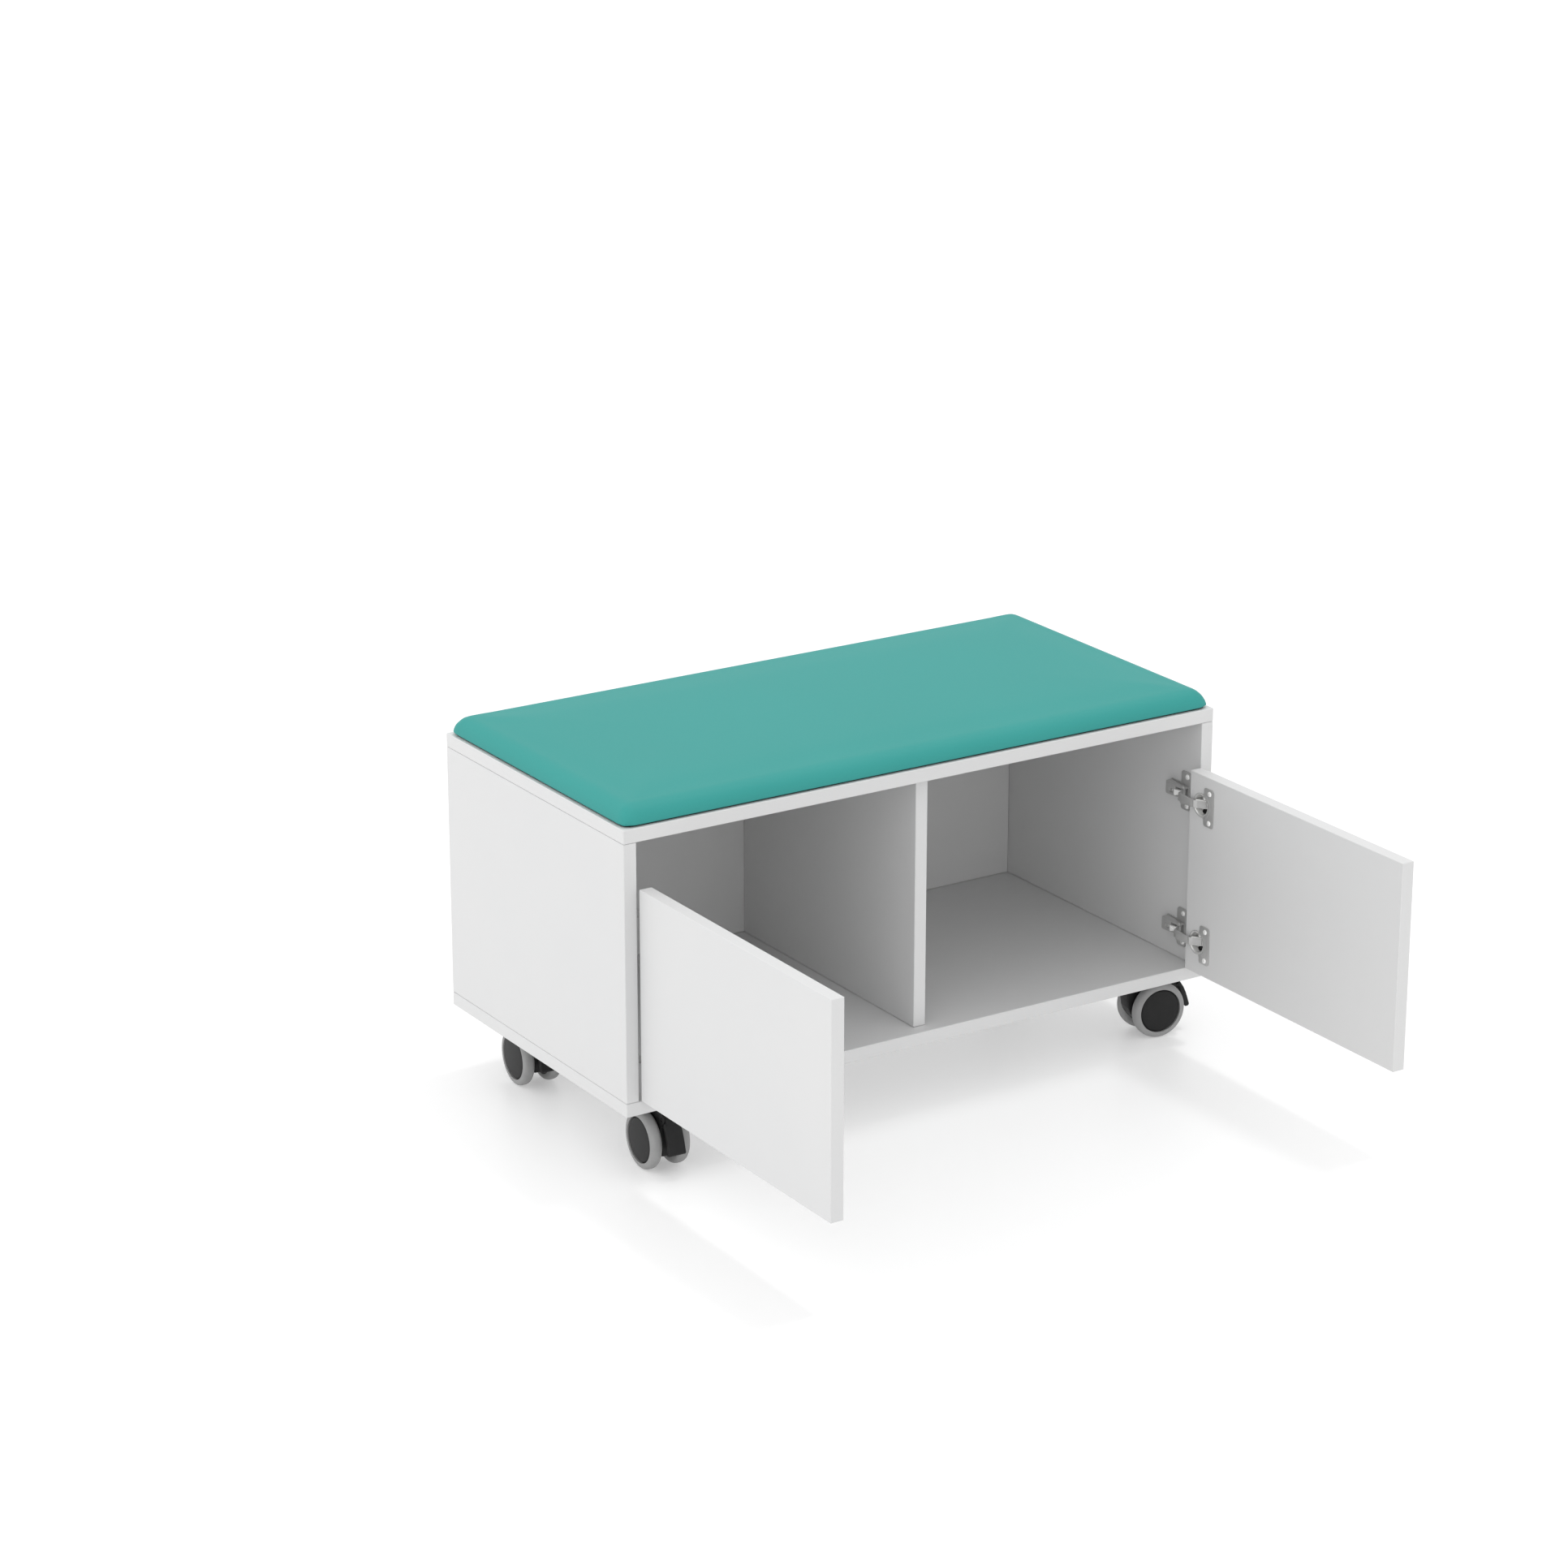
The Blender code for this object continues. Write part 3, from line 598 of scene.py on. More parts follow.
def blow_up(pad):
    """Inflate the skin as cloth, pinned along its underside."""
    rest = [vert.co.copy() for vert in pad.data.vertices]
    pinned = pad.vertex_groups.new(name="underside")
    for vert in pad.data.vertices:
        rise = vert.co.z - UNDER
        if rise < PINNED_RISE:
            pinned.add([vert.index], 1.0, "REPLACE")
        elif rise < FREE_RISE:
            weight = 1.0 - (rise - PINNED_RISE) / (FREE_RISE - PINNED_RISE)
            pinned.add([vert.index], weight, "REPLACE")
    cloth = pad.modifiers.new("Cloth", "CLOTH")
    for key, value in CLOTH.items():
        setattr(cloth.settings, key, value)
    cloth.settings.effector_weights.gravity = 0.0
    cloth.settings.vertex_group_mass = "underside"
    cloth.collision_settings.use_collision = False
    cloth.collision_settings.use_self_collision = False
    cloth.point_cache.frame_start = 1
    cloth.point_cache.frame_end = CLOTH_FRAMES
    for i in range(1, CLOTH_FRAMES + 1):
        scene.frame_set(i)
    blown = evaluated(pad)
    pad.modifiers.clear()
    pad.vertex_groups.clear()
    scene.frame_set(1)
    for vert, start in zip(blown.vertices, rest):
        move = vert.co - start
        if move.length > MAX_PUFF:
            vert.co = start + move.normalized() * MAX_PUFF
    pad.data = blown


def depth_in(x, y):
    """Distance in from the pad's edge, with soft corners in plan."""
    from_x, from_y = HALF_X - abs(x - MID_X), HALF_Y - abs(y - MID_Y)
    short_x, short_y = max(SOFT_CORNER - from_x, 0.0), max(SOFT_CORNER - from_y, 0.0)
    if short_x or short_y:
        return SOFT_CORNER - (short_x ** 4 + short_y ** 4) ** 0.25
    return min(from_x, from_y)


def rise_at(depth):
    """Height of the moulded profile at a depth in from the edge."""
    depth = max(depth, 0.0)
    along = min(depth / SHOULDER, 1.0)
    arc = SIDE_RISE + (SHOULDER_RISE - SIDE_RISE) * math.sqrt(1 - (1 - along) ** 2)
    return arc + (CROWN - SHOULDER_RISE) * (1 - math.exp(-depth / CROWN_REACH)) / CROWN_SCALE


# the side and shoulder as (depth, rise) points
PROFILE = [(0.0, SIDE_RISE * k / 3) for k in range(4)]
PROFILE += [
    (depth, rise_at(depth))
    for depth in (SHOULDER * (1 - math.cos(math.pi / 2 * k / 24)) for k in range(1, 25))
]


def nearest_on_profile(depth, rise):
    best, spot = 1e9, (depth, rise)
    for (depth_0, rise_0), (depth_1, rise_1) in zip(PROFILE, PROFILE[1:]):
        run, climb = depth_1 - depth_0, rise_1 - rise_0
        length_squared = max(run * run + climb * climb, 1e-12)
        along = ((depth - depth_0) * run + (rise - rise_0) * climb) / length_squared
        along = min(max(along, 0.0), 1.0)
        near_depth, near_rise = depth_0 + along * run, rise_0 + along * climb
        gap = (depth - near_depth) ** 2 + (rise - near_rise) ** 2
        if gap < best:
            best, spot = gap, (near_depth, near_rise)
    return spot


def shift_depth(vert, depth, target):
    """Move a point in plan, square to the pad's edge, from one depth to another."""
    x, y, step = vert.co.x, vert.co.y, 0.0004
    slope_x = (depth_in(x + step, y) - depth_in(x - step, y)) / (2 * step)
    slope_y = (depth_in(x, y + step) - depth_in(x, y - step)) / (2 * step)
    size = max(math.hypot(slope_x, slope_y), 1e-6)
    vert.co.x += slope_x / size * (target - depth)
    vert.co.y += slope_y / size * (target - depth)


def relax(form, verts, factor, times):
    for _ in range(times):
        bmesh.ops.smooth_vert(
            form, verts=verts, factor=factor, use_axis_x=True, use_axis_y=True, use_axis_z=True,
        )


def mould(skin):
    """Even out the voxel steps and draw the skin onto the moulded profile."""
    form = bmesh.new()
    form.from_mesh(skin)
    free = [vert for vert in form.verts if vert.co.z > UNDER + 0.0022]
    relax(form, free, factor=0.5, times=14)
    for vert in form.verts:
        if vert.co.z < UNDER + 0.0006:
            vert.co.z = UNDER
    for vert in form.verts:
        rise = vert.co.z - UNDER
        depth = depth_in(vert.co.x, vert.co.y)
        if rise < 0.0004:                         # flat underside: only its rim spreads outward
            if depth < 0.009:
                shift_depth(vert, depth, max(depth * 0.8, 0.0))
        elif depth > SHOULDER + 0.004:            # crown: keeps a share of its own puff
            puff = min(max(rise - rise_at(depth), -PUFF_LIMIT), PUFF_LIMIT)
            vert.co.z = UNDER + rise_at(depth) + puff * PUFF_KEPT
        else:
            new_depth, new_rise = nearest_on_profile(depth, rise)
            shift_depth(vert, depth, new_depth)
            vert.co.z = UNDER + new_rise
    upper = [vert for vert in form.verts if vert.co.z > UNDER + 0.004]
    relax(form, upper, factor=0.35, times=3)
    return to_mesh("seat_pad_skin", form)


def make_seat_pad():
    """The pad: a skin blown up over its base line, flat underneath, with soft full shoulders."""
    pad = bpy.data.objects.new("seat_pad", seat_cage())
    scene.collection.objects.link(pad)
    remesh = pad.modifiers.new("Voxel", "REMESH")
    remesh.mode = "VOXEL"
    remesh.voxel_size = VOXEL
    bpy.context.view_layer.update()
    even = evaluated(pad)
    pad.modifiers.clear()
    pad.data = even
    blow_up(pad)
    pad.data = mould(pad.data)
    fine = pad.modifiers.new("Fine", "SUBSURF")
    fine.levels = fine.render_levels = 1
    pad.data.materials.append(TEAL)
    pad.data.shade_smooth()
    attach(pad, "carcass")
    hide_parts("seat_cushion")


make_seat_base()
make_seat_pad()


# ================================================================ castors
# Local frame: origin at the axle's centre, x away from the swivel axis, y along the axle, z up.
joints = {joint["name"]: joint for joint in frame["record"]["behaviour"]["joints"]}


def joint_at(name):
    return Vector(joints[name]["pos_m"])


first_swivel, first_wheel = joint_at("swivel_front_left"), joint_at("wheel_front_left_a")
SWIVEL = Matrix.Translation(
    (-(first_wheel - first_swivel).xy.length, 0, first_swivel.z - first_wheel.z))
UPRIGHT = Matrix.Rotation(math.radians(90), 4, "X")   # outline's Y to +Z, thickness to -Y
LEVER_PIVOT = Matrix.Translation((0.027, 0, 0.031)) @ UPRIGHT
PLATE_SCREW_OFFSET = 0.021                        # plate screws from the swivel axis, in x and y
PLATE_SCREW_DROP = 0.0029                         # their seat below the swivel joint

# side outlines, (x, z) from the axle's centre
BODY_LINE = mm([
    (-32.5, 37.5), (-36.0, 34.5), (-37.2, 28.0), (-37.4, 21.0), (-37.0, 12.8), (-35.8, 4.5),
    (-32.4, -3.7), (-26.6, -11.2), (-20.0, -15.8), (-10.0, -18.3), (5.0, -18.6), (18.0, -16.0),
    (25.5, -13.6), (29.2, -12.2), (28.6, -2.0), (26.6, 9.0), (23.2, 20.0), (31.5, 27.5),
    (31.8, 34.5), (28.5, 37.5),
])
LEVER_LINE = mm([
    (33.0, 30.0), (36.4, 24.6), (39.7, 19.7), (43.2, 12.0), (45.8, 4.2), (48.2, -3.6),
    (47.2, -5.9), (43.2, -6.4), (41.4, -4.6), (37.6, 9.5), (33.4, 20.8), (31.2, 24.5),
])
LEVER_NECK = mm([
    (23.9, 32.0), (25.4, 34.0), (28.0, 34.4), (31.0, 32.6), (36.0, 26.5), (34.5, 22.0),
    (31.0, 22.5), (29.0, 26.5), (26.6, 27.8), (24.2, 29.2),
])

# turned profiles: (radius, distance along the axle)
TYRE_PROFILE = mm([
    (26.9, 24.4), (28.5, 24.5), (30.0, 24.35), (31.2, 24.05), (32.2, 23.5), (33.0, 22.8),
    (33.6, 21.9), (34.0, 20.7), (34.2, 19.2), (34.2, 16.4), (34.0, 15.0), (33.5, 13.6),
    (32.6, 12.3), (31.4, 11.3), (30.0, 10.75), (28.6, 10.6), (26.5, 10.6),
])
HUB_PROFILE = mm([
    (0, 24.75), (6.0, 24.7), (12.0, 24.55), (18.0, 24.3), (22.5, 24.0), (24.3, 23.8),
    (25.1, 23.55), (25.55, 23.1), (25.7, 22.5), (25.7, 22.0), (26.4, 22.0), (26.2, 11.2),
    (25.8, 10.8), (5.0, 10.6), (4.4, 10.9), (4.4, 21.5), (0, 21.5),
])
# turned about vertical axes or pins: (radius, height)
COLLAR_PROFILE = mm([
    (0, -12.3), (13.2, -12.3), (14.4, -11.9), (15.0, -11.0), (15.0, -4.2), (14.6, -3.6), (0, -3.6),
])
LEVER_PIN = mm([(0, 9.5), (1.4, 9.5), (1.7, 9.1), (1.7, -9.1), (1.4, -9.5), (0, -9.5)])


def housing_mesh():
    """Body between the wheels, with its swivel collar, bores and a slot for the lever's neck."""
    body = slab("housing", round_outline(BODY_LINE, 0.0022), -0.0097, 0.0097, 0.0016, 3, UPRIGHT)
    body = carve(body, [revolve("collar", COLLAR_PROFILE, 64, SWIVEL)], "UNION")
    neck_slot = block((0.0215, -0.0080, 0.0225), (0.0400, 0.0080, 0.0420), bevel=0.0006)
    return carve(body, [
        rod(0.0054, 0.002, -0.032, 32, SWIVEL),
        to_mesh("neck_slot", neck_slot),
        rod(0.0044, 0.015, -0.015, 32, UPRIGHT),
        rod(0.0021, 0.015, -0.015, 24, LEVER_PIVOT),
    ])


def lever_mesh():
    """Brake lever: a broad rounded pad, a narrower neck and the pivot pin."""
    pad = slab("pad", round_outline(LEVER_LINE, 0.0013, 3), -0.0101, 0.0101, 0.0012, 3, UPRIGHT)
    neck = slab("neck", round_outline(LEVER_NECK, 0.0010, 3), -0.0075, 0.0075, 0.0005, 2, UPRIGHT)
    return carve(pad, [neck, revolve("pin", LEVER_PIN, 24, LEVER_PIVOT)], "UNION")


# one set of meshes serves all four castors
TYRE_MESH = revolve("tyre", TYRE_PROFILE, 96)
HUB_MESH = revolve("hub", HUB_PROFILE, 96)
HOUSING_MESH, LEVER_MESH = housing_mesh(), lever_mesh()
PLATE_SCREW = screw_mesh(radius=0.0037, height=0.0022)


def make_castor(corner):
    tag = "castor_" + corner
    swivel = joint_at("swivel_" + corner)
    axle = Vector(joints[f"wheel_{corner}_a"]["axis"]).normalized()
    turn = math.atan2(-axle.x, axle.y)
    at = Matrix.Translation(joint_at(f"wheel_{corner}_a")) @ Matrix.Rotation(turn, 4, "Z")
    for side, angle in (("a", 90), ("b", -90)):
        pose = at @ Matrix.Rotation(math.radians(angle), 4, "X")
        body = f"{tag}_wheel_{side}"
        piece(f"{tag}_tread_{side}", copy_at(TYRE_MESH, pose), TYRE, body,
              f"{tag}_tyre_{side}")
        piece(f"{tag}_wheel_disc_{side}", copy_at(HUB_MESH, pose), NYLON, body,
              f"{tag}_hub_{side}")
    piece(f"{tag}_body", copy_at(HOUSING_MESH, at), NYLON, f"{tag}_swivel",
          f"{tag}_housing")
    piece(f"{tag}_lever_skin", copy_at(LEVER_MESH, at), NYLON, f"{tag}_lever",
          f"{tag}_brake_lever")
    heads = []
    for x in (-PLATE_SCREW_OFFSET, PLATE_SCREW_OFFSET):
        for y in (-PLATE_SCREW_OFFSET, PLATE_SCREW_OFFSET):
            spot = Matrix.Translation(swivel + Vector((x, y, -PLATE_SCREW_DROP)))
            heads.append(copy_at(PLATE_SCREW, spot @ Matrix.Rotation(math.pi, 4, "X")))
    piece(f"{tag}_plate_screws", merge("screws", heads), ZINC, "carcass")


for castor_corner in ("front_left", "back_left", "front_right", "back_right"):
    make_castor(castor_corner)


# ================================================================ concealed hinges
# Local frame of a left hinge: x from the side panel's inner face, y back from the carcass front,
# z from the hinge's middle. Right hinges are the mirror image.
YZ = Matrix(((0, 0, 1, 0), (1, 0, 0, 0), (0, 1, 0, 0), (0, 0, 0, 1)))   # outline (y, z), thickness x
FACE_X = Matrix.Rotation(math.radians(90), 4, "Y")                      # local Z to +X
DOOR_FACE = 0.0170                # x of the open door's face
CUP_BACK = 0.0250                 # cup's centre in front of the carcass
CUP_AT = Matrix.Translation((DOOR_FACE, -CUP_BACK, 0)) @ FACE_X
# cup depth in mm, from the door's face to the CAD cup's low x side
CUP_DEEP = round((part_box("left_door")[1].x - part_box("left_upper_hinge_cup")[0].x) * 1000, 1)
SCREW_Z = 0.018                   # plate and cup screws above and below the middle
PLATE_SCREW_Y = 0.0220
PIVOT_X, PIVOT_Y = 0.0080, 0.0215  # the link's pivot in the arm
STRIP_HALF = 0.0008               # half the link's strip thickness


def hinge_screw(x, y, z, radius, height, spin):
    place = Matrix.Translation((x, y, z)) @ FACE_X @ Matrix.Rotation(spin, 4, "Z")
    return copy_at(screw_mesh(radius, height), place)


def hinge_plate():
    """Winged plate on the side panel, with a raised ring at each screw and a rail for the arm."""
    wing = [
        (0.0178, -0.024), (0.0345, -0.024), (0.0345, -0.0085), (0.0540, -0.0085),
        (0.0540, 0.0085), (0.0345, 0.0085), (0.0345, 0.024), (0.0178, 0.024),
    ]
    radii = [0.003, 0.0045, 0.0015, 0.002, 0.002, 0.0015, 0.0045, 0.003]
    parts = [slab("wing", round_outline(wing, radii, 6), 0.0002, 0.0015, 0.0003, 2, YZ)]
    ring = mm([(2.0, 1.4), (3.9, 1.4), (3.8, 1.7), (3.4, 1.85), (2.0, 1.85)])
    for z in (-SCREW_Z, SCREW_Z):
        parts.append(revolve("ring", ring, 40, Matrix.Translation((0, PLATE_SCREW_Y, z)) @ FACE_X))
    rail = [(0.0185, -0.0062), (0.0532, -0.0072), (0.0532, 0.0072), (0.0185, 0.0062)]
    parts.append(slab("rail", round_outline(rail, 0.002), 0.0014, 0.0028, 0.0003, 2, YZ))
    return merge("hinge_plate", parts)


def plate_screws():
    return merge("plate_screws", [
        hinge_screw(0.0017, PLATE_SCREW_Y, z, radius=0.0034, height=0.0021, spin=spin)
        for z, spin in ((-SCREW_Z, 0.4), (SCREW_Z, 1.1))
    ])


def hinge_arm():
    """Tapered arm with rounded folds, open at the front for the link."""
    outline = [(0.0185, -0.0068), (0.0525, -0.0084), (0.0525, 0.0084), (0.0185, 0.0068)]
    outline = round_outline(outline, [0.0012, 0.0024, 0.0024, 0.0012], 5)
    window = [(0.0380, -0.0044), (0.0460, -0.0044), (0.0460, 0.0012), (0.0380, 0.0012)]
    body = carve(slab("arm", outline, 0.0030, 0.0104, 0.0007, 3, YZ), [
        to_mesh("slot", block((-0.001, 0.0100, -0.0050), (0.0200, 0.0340, 0.0050), bevel=0.0003)),
        slab("window", round_outline(window, 0.0026, 5), 0.0092, 0.02, matrix=YZ),
        rod(0.0017, 0.012, -0.012, 24, Matrix.Translation((PIVOT_X, PIVOT_Y, 0))),
    ])
    adjuster = hinge_screw(0.0091, 0.0410, -0.0016, radius=0.0022, height=0.0018, spin=0.5)
    cap = mm([(0, 0.9), (1.0, 0.8), (1.7, 0.4), (1.9, 0.0), (1.9, -0.6), (0, -0.6)])
    rivets = [
        revolve("rivet", cap, 24,
                Matrix.Translation((PIVOT_X, PIVOT_Y, z)) @ Matrix.Rotation(turn, 4, "X"))
        for z, turn in ((-0.0068, math.pi), (0.0068, 0.0))
    ]
    return merge("hinge_arm", [body, adjuster, *rivets])


def hinge_clip():
    """Sprung catch, slanting up out of the arm's slot, bright in near-white painted highlight; outline
    (x, y).
    """
    outline = [
        (0.0048, 0.0266), (0.0082, 0.0266), (0.0112, 0.0346), (0.0112, 0.0360), (0.0048, 0.0360),
    ]
    return slab("clip", round_outline(outline, 0.0005, 3), -0.0060, 0.0010, 0.0004)


def strip_outline(path):
    """Outline of a bent strip that follows a centre line."""
    left, right = [], []
    for i, here in enumerate(path):
        before = (here - path[i - 1]).normalized() if i else (path[1] - here).normalized()
        after = (path[i + 1] - here).normalized() if i + 1 < len(path) else before
        along = (before + after).normalized()
        offset = Vector((-along.y, along.x)) * STRIP_HALF / max(0.4, along.dot(after))
        left.append(here + offset)
        right.append(here - offset)
    return left + right[::-1]


def hinge_link():
    """Bent strip from the arm's pivot to the cup, with boss, pin and a wide plate; about the pivot."""
    path = mm([(0, 0), (12.3, -7.0), (13.4, -12.0), (13.4, -37.5), (10.0, -39.2), (4.5, -50.0)])
    boss = mm([(0, 4.5), (2.5, 4.5), (2.8, 4.2), (2.8, -4.2), (2.5, -4.5), (0, -4.5)])
    pin = mm([(0, 7.8), (1.2, 7.8), (1.5, 7.5), (1.5, -7.5), (1.2, -7.8), (0, -7.8)])
    wide = [(-0.0122, -0.0062), (-0.0122, 0.0062), (-0.0345, 0.0046), (-0.0345, -0.0046)]
    strip = slab("strip", strip_outline(round_path(path, 0.0022, 4)), -0.0045, 0.0045, 0.0003)
    strip = carve(strip, [revolve("boss", boss, 40), revolve("pin", pin, 24)], "UNION")
    plate = slab("wide", round_outline(wide, 0.0012), 0.0130, 0.0146, 0.0003, 2, YZ)
    link = merge("hinge_link", [strip, plate])
    return copy_at(link, Matrix.Translation((PIVOT_X, PIVOT_Y, 0)))


def hinge_shoe():
    """End of the link, slanting down into the cup, bright in near-white painted highlight; outline (x,
    y).
    """
    outline = mm([
        (18.6, -15.6), (19.4, -17.2), (18.0, -18.6), (13.2, -28.0),
        (11.0, -29.2), (9.8, -27.6), (14.6, -18.0), (16.6, -15.6),
    ])
    return slab("shoe", round_outline(outline, 0.0006, 3), -0.0050, 0.0050, 0.0005)


def cup_pot():
    """Drawn cup: polished inside, rolled rim proud of the door."""
    floor = -CUP_DEEP
    profile = mm([
        (0, floor + 1.0), (9.4, floor + 1.0), (11.0, floor + 1.5), (11.8, floor + 2.8),
        (12.0, floor + 4.4), (12.0, 0.2), (12.4, 0.9), (13.0, 1.25), (14.2, 1.25), (14.7, 1.0),
        (14.8, 0.65), (14.7, 0.3), (13.0, 0.3), (13.0, floor + 0.6), (12.4, floor), (0, floor),
    ])
    return revolve("pot", profile, 72, CUP_AT)


def cup_flange():
    """Screw flange with rounded corners and the pressed bead round the cup."""
    # (distance in front of the cup's centre, z)
    line = [
        (3.6, 14.0), (5.4, 16.6), (5.4, 23.5), (23.5, 23.5),
        (23.5, -23.5), (5.4, -23.5), (5.4, -16.6), (3.6, -14.0),
    ]
    line = mm([(-ahead - CUP_BACK * 1000, z) for ahead, z in line])
    radii = [0.001, 0.0012, 0.0042, 0.0042, 0.0042, 0.0042, 0.0012, 0.001]
    flat = slab("flange", round_outline(line, radii, 5), DOOR_FACE + 0.0003, DOOR_FACE + 0.0013,
                0.0003, 2, YZ)
    flat = carve(flat, [rod(0.0139, 0.006, -0.006, 72, CUP_AT)])
    angles = [math.radians(-56 + 112 * k / 32) for k in range(33)]
    outer, inner = (
        [(-math.cos(angle) * radius - CUP_BACK, math.sin(angle) * radius) for angle in angles]
        for radius in (0.0172, 0.0160)
    )
    bead = slab("bead", outer + inner[::-1], DOOR_FACE + 0.0011, DOOR_FACE + 0.0018, 0.0003, 2, YZ)
    return merge("cup_flange", [flat, bead])


def cup_screws():
    """The two flange screws and the upper end of the cup's cross pin."""
    parts = [
        hinge_screw(DOOR_FACE + 0.0013, -CUP_BACK - 0.0162, z, radius=0.0032, height=0.0017, spin=spin)
        for z, spin in ((-SCREW_Z, 0.2), (SCREW_Z, 0.9))
    ]
    pin = mm([(0, 0), (1.2, 0), (1.5, 0.3), (1.5, 5.2), (0, 5.2)])
    place = Matrix.Translation((DOOR_FACE - 0.0042, -CUP_BACK - 0.0005, 0.0060))
    return merge("cup_screws", [*parts, revolve("post", pin, 28, place)])


def cup_painted_shade_stop():
    """Black nylon stop on the cup's floor; its dark disc also stands as painted shade for the shadowed
    recess there.
    """
    profile = mm([(0, 4.6), (1.2, 4.6), (1.5, 5.9), (2.2, 5.9), (2.6, 5.4), (2.6, 0), (0, 0)])
    floor_x = DOOR_FACE - (CUP_DEEP - 1.0) / 1000
    place = Matrix.Translation((floor_x, -CUP_BACK + 0.0008, -0.0088)) @ FACE_X
    return revolve("painted_shade_stop", profile, 40, place)


# name, mesh, material, what it rides on, CAD piece it stands for
HINGE_PIECES = (
    ("plate", hinge_plate(), STEEL, "carcass", "plate"),
    # the screws, clip, shoe and cup screws wear the painted highlight steel
    ("plate_screws", plate_screws(), BRIGHT_PAINTED_HIGHLIGHT, "carcass", None),
    ("arm", hinge_arm(), STEEL, "carcass", "arm"),
    ("clip", hinge_clip(), BRIGHT_PAINTED_HIGHLIGHT, "carcass", None),
    ("link", hinge_link(), STEEL, "link", "link"),
    ("shoe", hinge_shoe(), BRIGHT_PAINTED_HIGHLIGHT, "link", None),
    ("pot", cup_pot(), POLISHED, "door", "cup"),
    ("flange", cup_flange(), STEEL, "door", None),
    ("cup_screws", cup_screws(), BRIGHT_PAINTED_HIGHLIGHT, "door", None),
    # black stop: partly a real part, partly painted shade for the dark recess in the cup
    ("painted_shade_stop", cup_painted_shade_stop(), NYLON, "door", None),
)


def make_hinge(side, level):
    tag = f"{side}_{level}_hinge"
    panel_low, panel_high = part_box(f"{side}_side_panel")
    inner = panel_high.x if side == "left" else panel_low.x
    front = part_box("left_side_panel")[0].y
    plate_low, plate_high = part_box(tag + "_plate")
    at = Matrix.Translation((inner, front, (plate_low.z + plate_high.z) / 2))
    bodies = {"carcass": "carcass", "door": f"{side}_door", "link": f"{tag}_link"}
    for name, mesh, mat, rides_on, cad_part in HINGE_PIECES:
        handed = mesh if side == "left" else flipped(mesh)
        stands_for = f"{tag}_{cad_part}" if cad_part else None
        piece(f"{tag}_{name}_detail", copy_at(handed, at), mat, bodies[rides_on], stands_for)


for hinge_side in ("left", "right"):
    for hinge_level in ("upper", "lower"):
        make_hinge(hinge_side, hinge_level)


# ================================================================ floor, light and camera
WORLD_STRENGTH = 1.12
WORLD_SLOPE = 0.32                # how much brighter the surround is toward -X
SUN_STRENGTH = 0.53
SUN_ANGLE = math.radians(7.0)
TO_SUN = Vector((0.31, 0.03, 1.0))
FLOOR_GAP = 0.0002                # floor below the CAD's lowest point

FOCAL = 99.93                     # mm, on a 36 mm sensor
CAMERA_FROM_CORNER = Vector((-2.22394, -3.81062, 1.56469))
CAMERA_RIGHT = Vector((0.8433, -0.5375, 0.0))
CAMERA_UP = Vector((0.1743, 0.2734, 0.9460))


def make_floor():
    form = bmesh.new()
    bmesh.ops.create_grid(form, x_segments=8, y_segments=8, size=60.0)
    floor = bpy.data.objects.new("floor", unload("floor", form))
    scene.collection.objects.link(floor)
    floor.location = (0, 0, cad_low.z - FLOOR_GAP)
    pale = Material("pale_floor")
    soft = pale.noise(scale=1.5, detail=2.0, rough=0.5)
    pale.surface(
        Metallic=0.0, Roughness=0.35, Specular_IOR_Level=0.2,
        Base_Color=pale.ramp(soft, (0.660, 0.660, 0.660), (0.668, 0.668, 0.668)),
        Emission_Color=(1.0, 1.0, 1.0, 1.0), Emission_Strength=0.30,
    )
    floor.data.materials.append(pale.data)


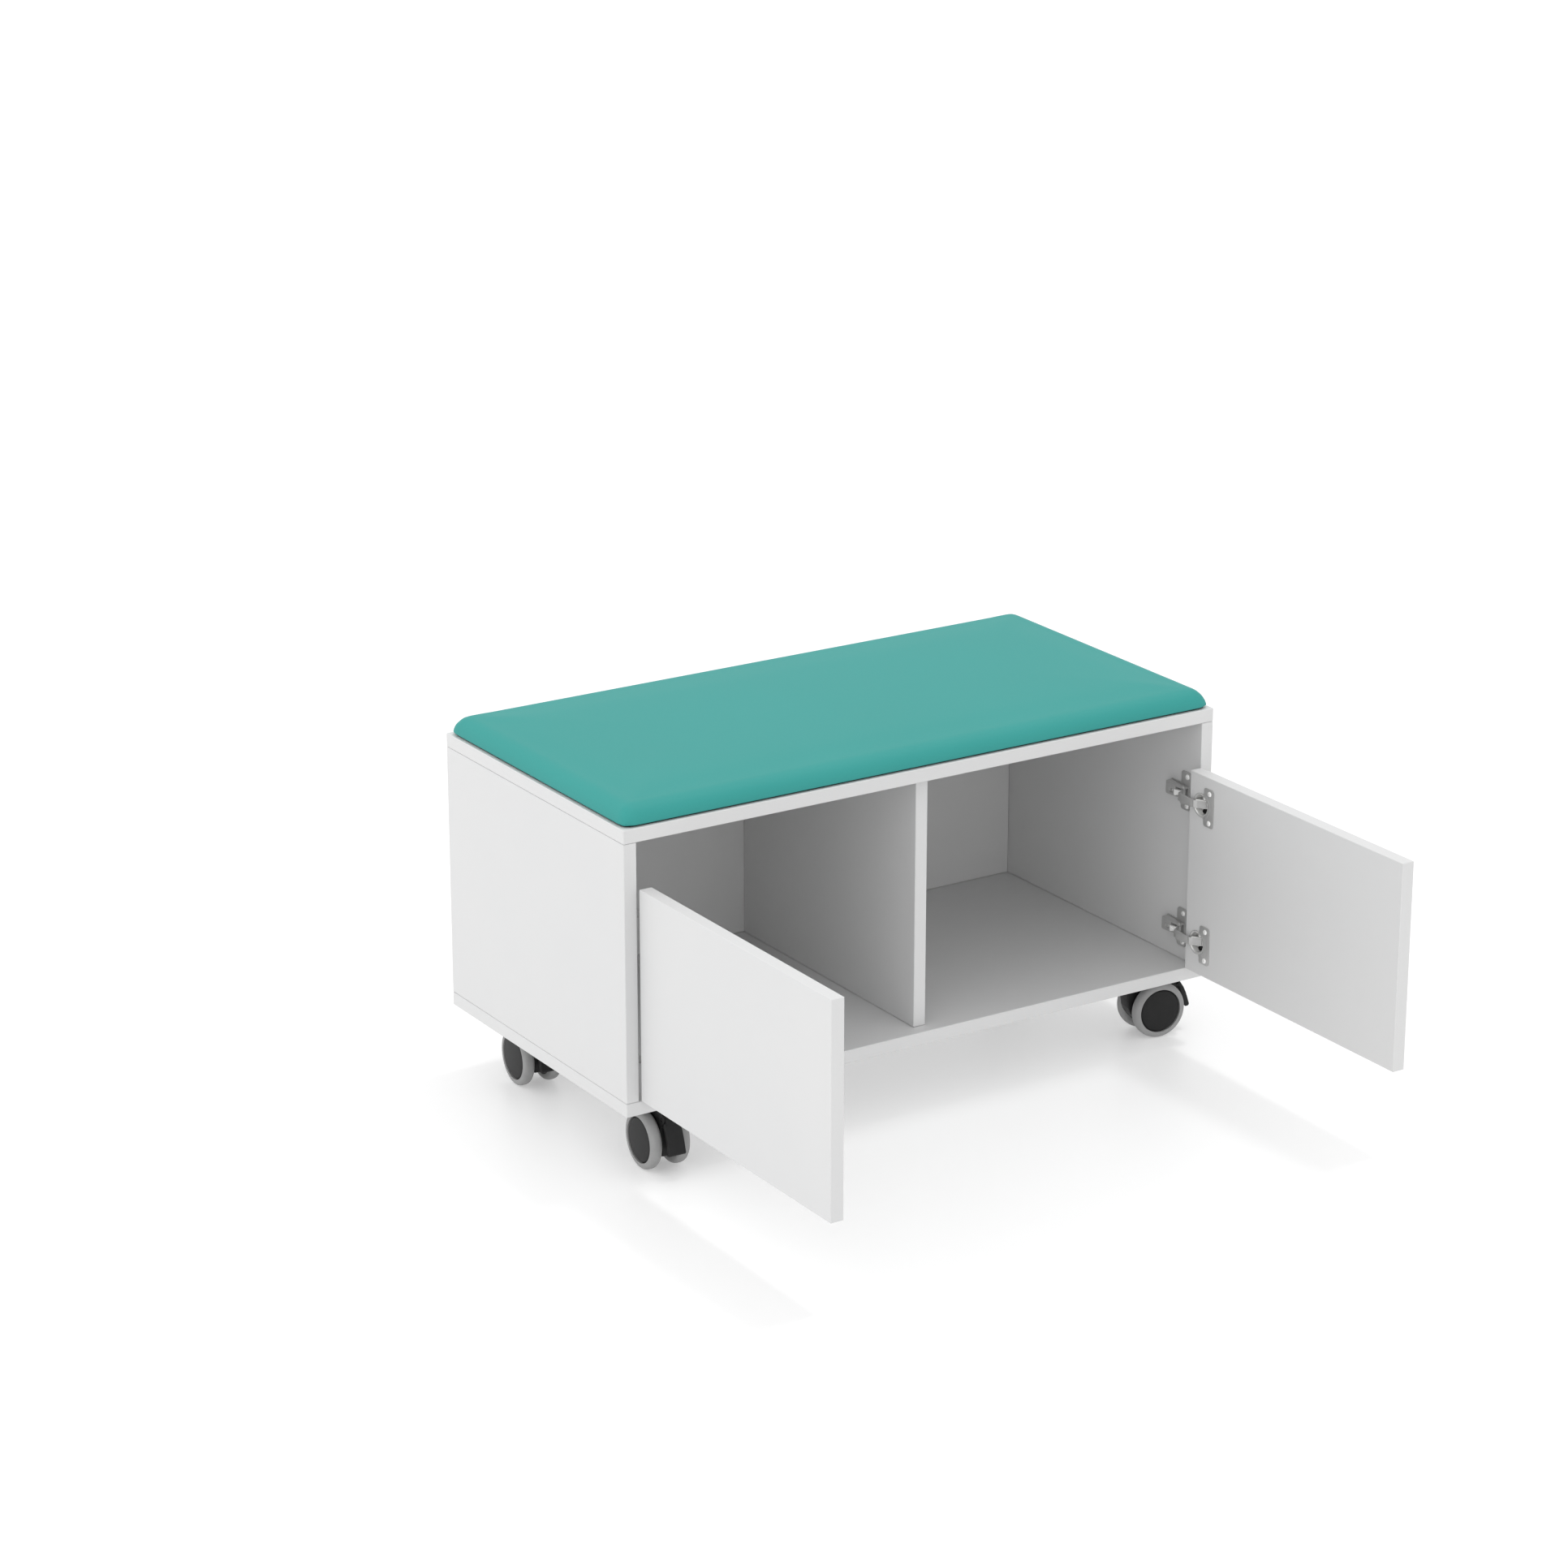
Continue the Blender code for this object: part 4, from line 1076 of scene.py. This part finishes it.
def make_world():
    """Soft surround, a little brighter from the left; the camera sees it as plain white."""
    world = bpy.data.worlds.new("studio")
    scene.world = world
    world.use_nodes = True
    tree = world.node_tree
    background = tree.nodes["Background"]
    coord = tree.nodes.new("ShaderNodeTexCoord")
    split = tree.nodes.new("ShaderNodeSeparateXYZ")
    tree.links.new(coord.outputs["Generated"], split.inputs[0])
    slope = tree.nodes.new("ShaderNodeMath")
    slope.operation = "MULTIPLY_ADD"
    slope.inputs[1].default_value = -WORLD_SLOPE
    slope.inputs[2].default_value = WORLD_STRENGTH
    tree.links.new(split.outputs["X"], slope.inputs[0])
    path = tree.nodes.new("ShaderNodeLightPath")
    pick = tree.nodes.new("ShaderNodeMix")
    pick.data_type = "FLOAT"
    tree.links.new(path.outputs["Is Camera Ray"], pick.inputs[0])
    tree.links.new(slope.outputs[0], pick.inputs[2])
    pick.inputs[3].default_value = 1.0
    tree.links.new(pick.outputs[0], background.inputs["Strength"])
    background.inputs["Color"].default_value = (1.0, 1.0, 1.0, 1.0)


def make_sun():
    sun = bpy.data.lights.new("key", "SUN")
    sun.energy = SUN_STRENGTH
    sun.angle = SUN_ANGLE
    key = bpy.data.objects.new("key", sun)
    scene.collection.objects.link(key)
    key.rotation_mode = "QUATERNION"
    key.rotation_quaternion = TO_SUN.to_track_quat("Z", "Y")


def make_camera():
    """Long lens at the front left, well above the seat."""
    lens = bpy.data.cameras.new("camera")
    lens.lens = FOCAL
    lens.sensor_width = 36.0
    lens.clip_start = 0.1
    lens.clip_end = 200.0
    camera = bpy.data.objects.new("camera", lens)
    scene.collection.objects.link(camera)
    top_low, top_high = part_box("top_panel")
    place = Vector((top_low.x, top_low.y, top_high.z)) + CAMERA_FROM_CORNER
    right = CAMERA_RIGHT.normalized()
    back = right.cross(CAMERA_UP).normalized()
    up = back.cross(right).normalized()
    rows = [(right[i], up[i], back[i], place[i]) for i in range(3)]
    camera.matrix_world = Matrix((*rows, (0, 0, 0, 1)))
    scene.camera = camera


make_floor()
make_world()
make_sun()
make_camera()
scene.view_settings.view_transform = "Standard"
scene.view_settings.look = "None"
scene.view_settings.exposure = 0.0
scene.view_settings.gamma = 1.0
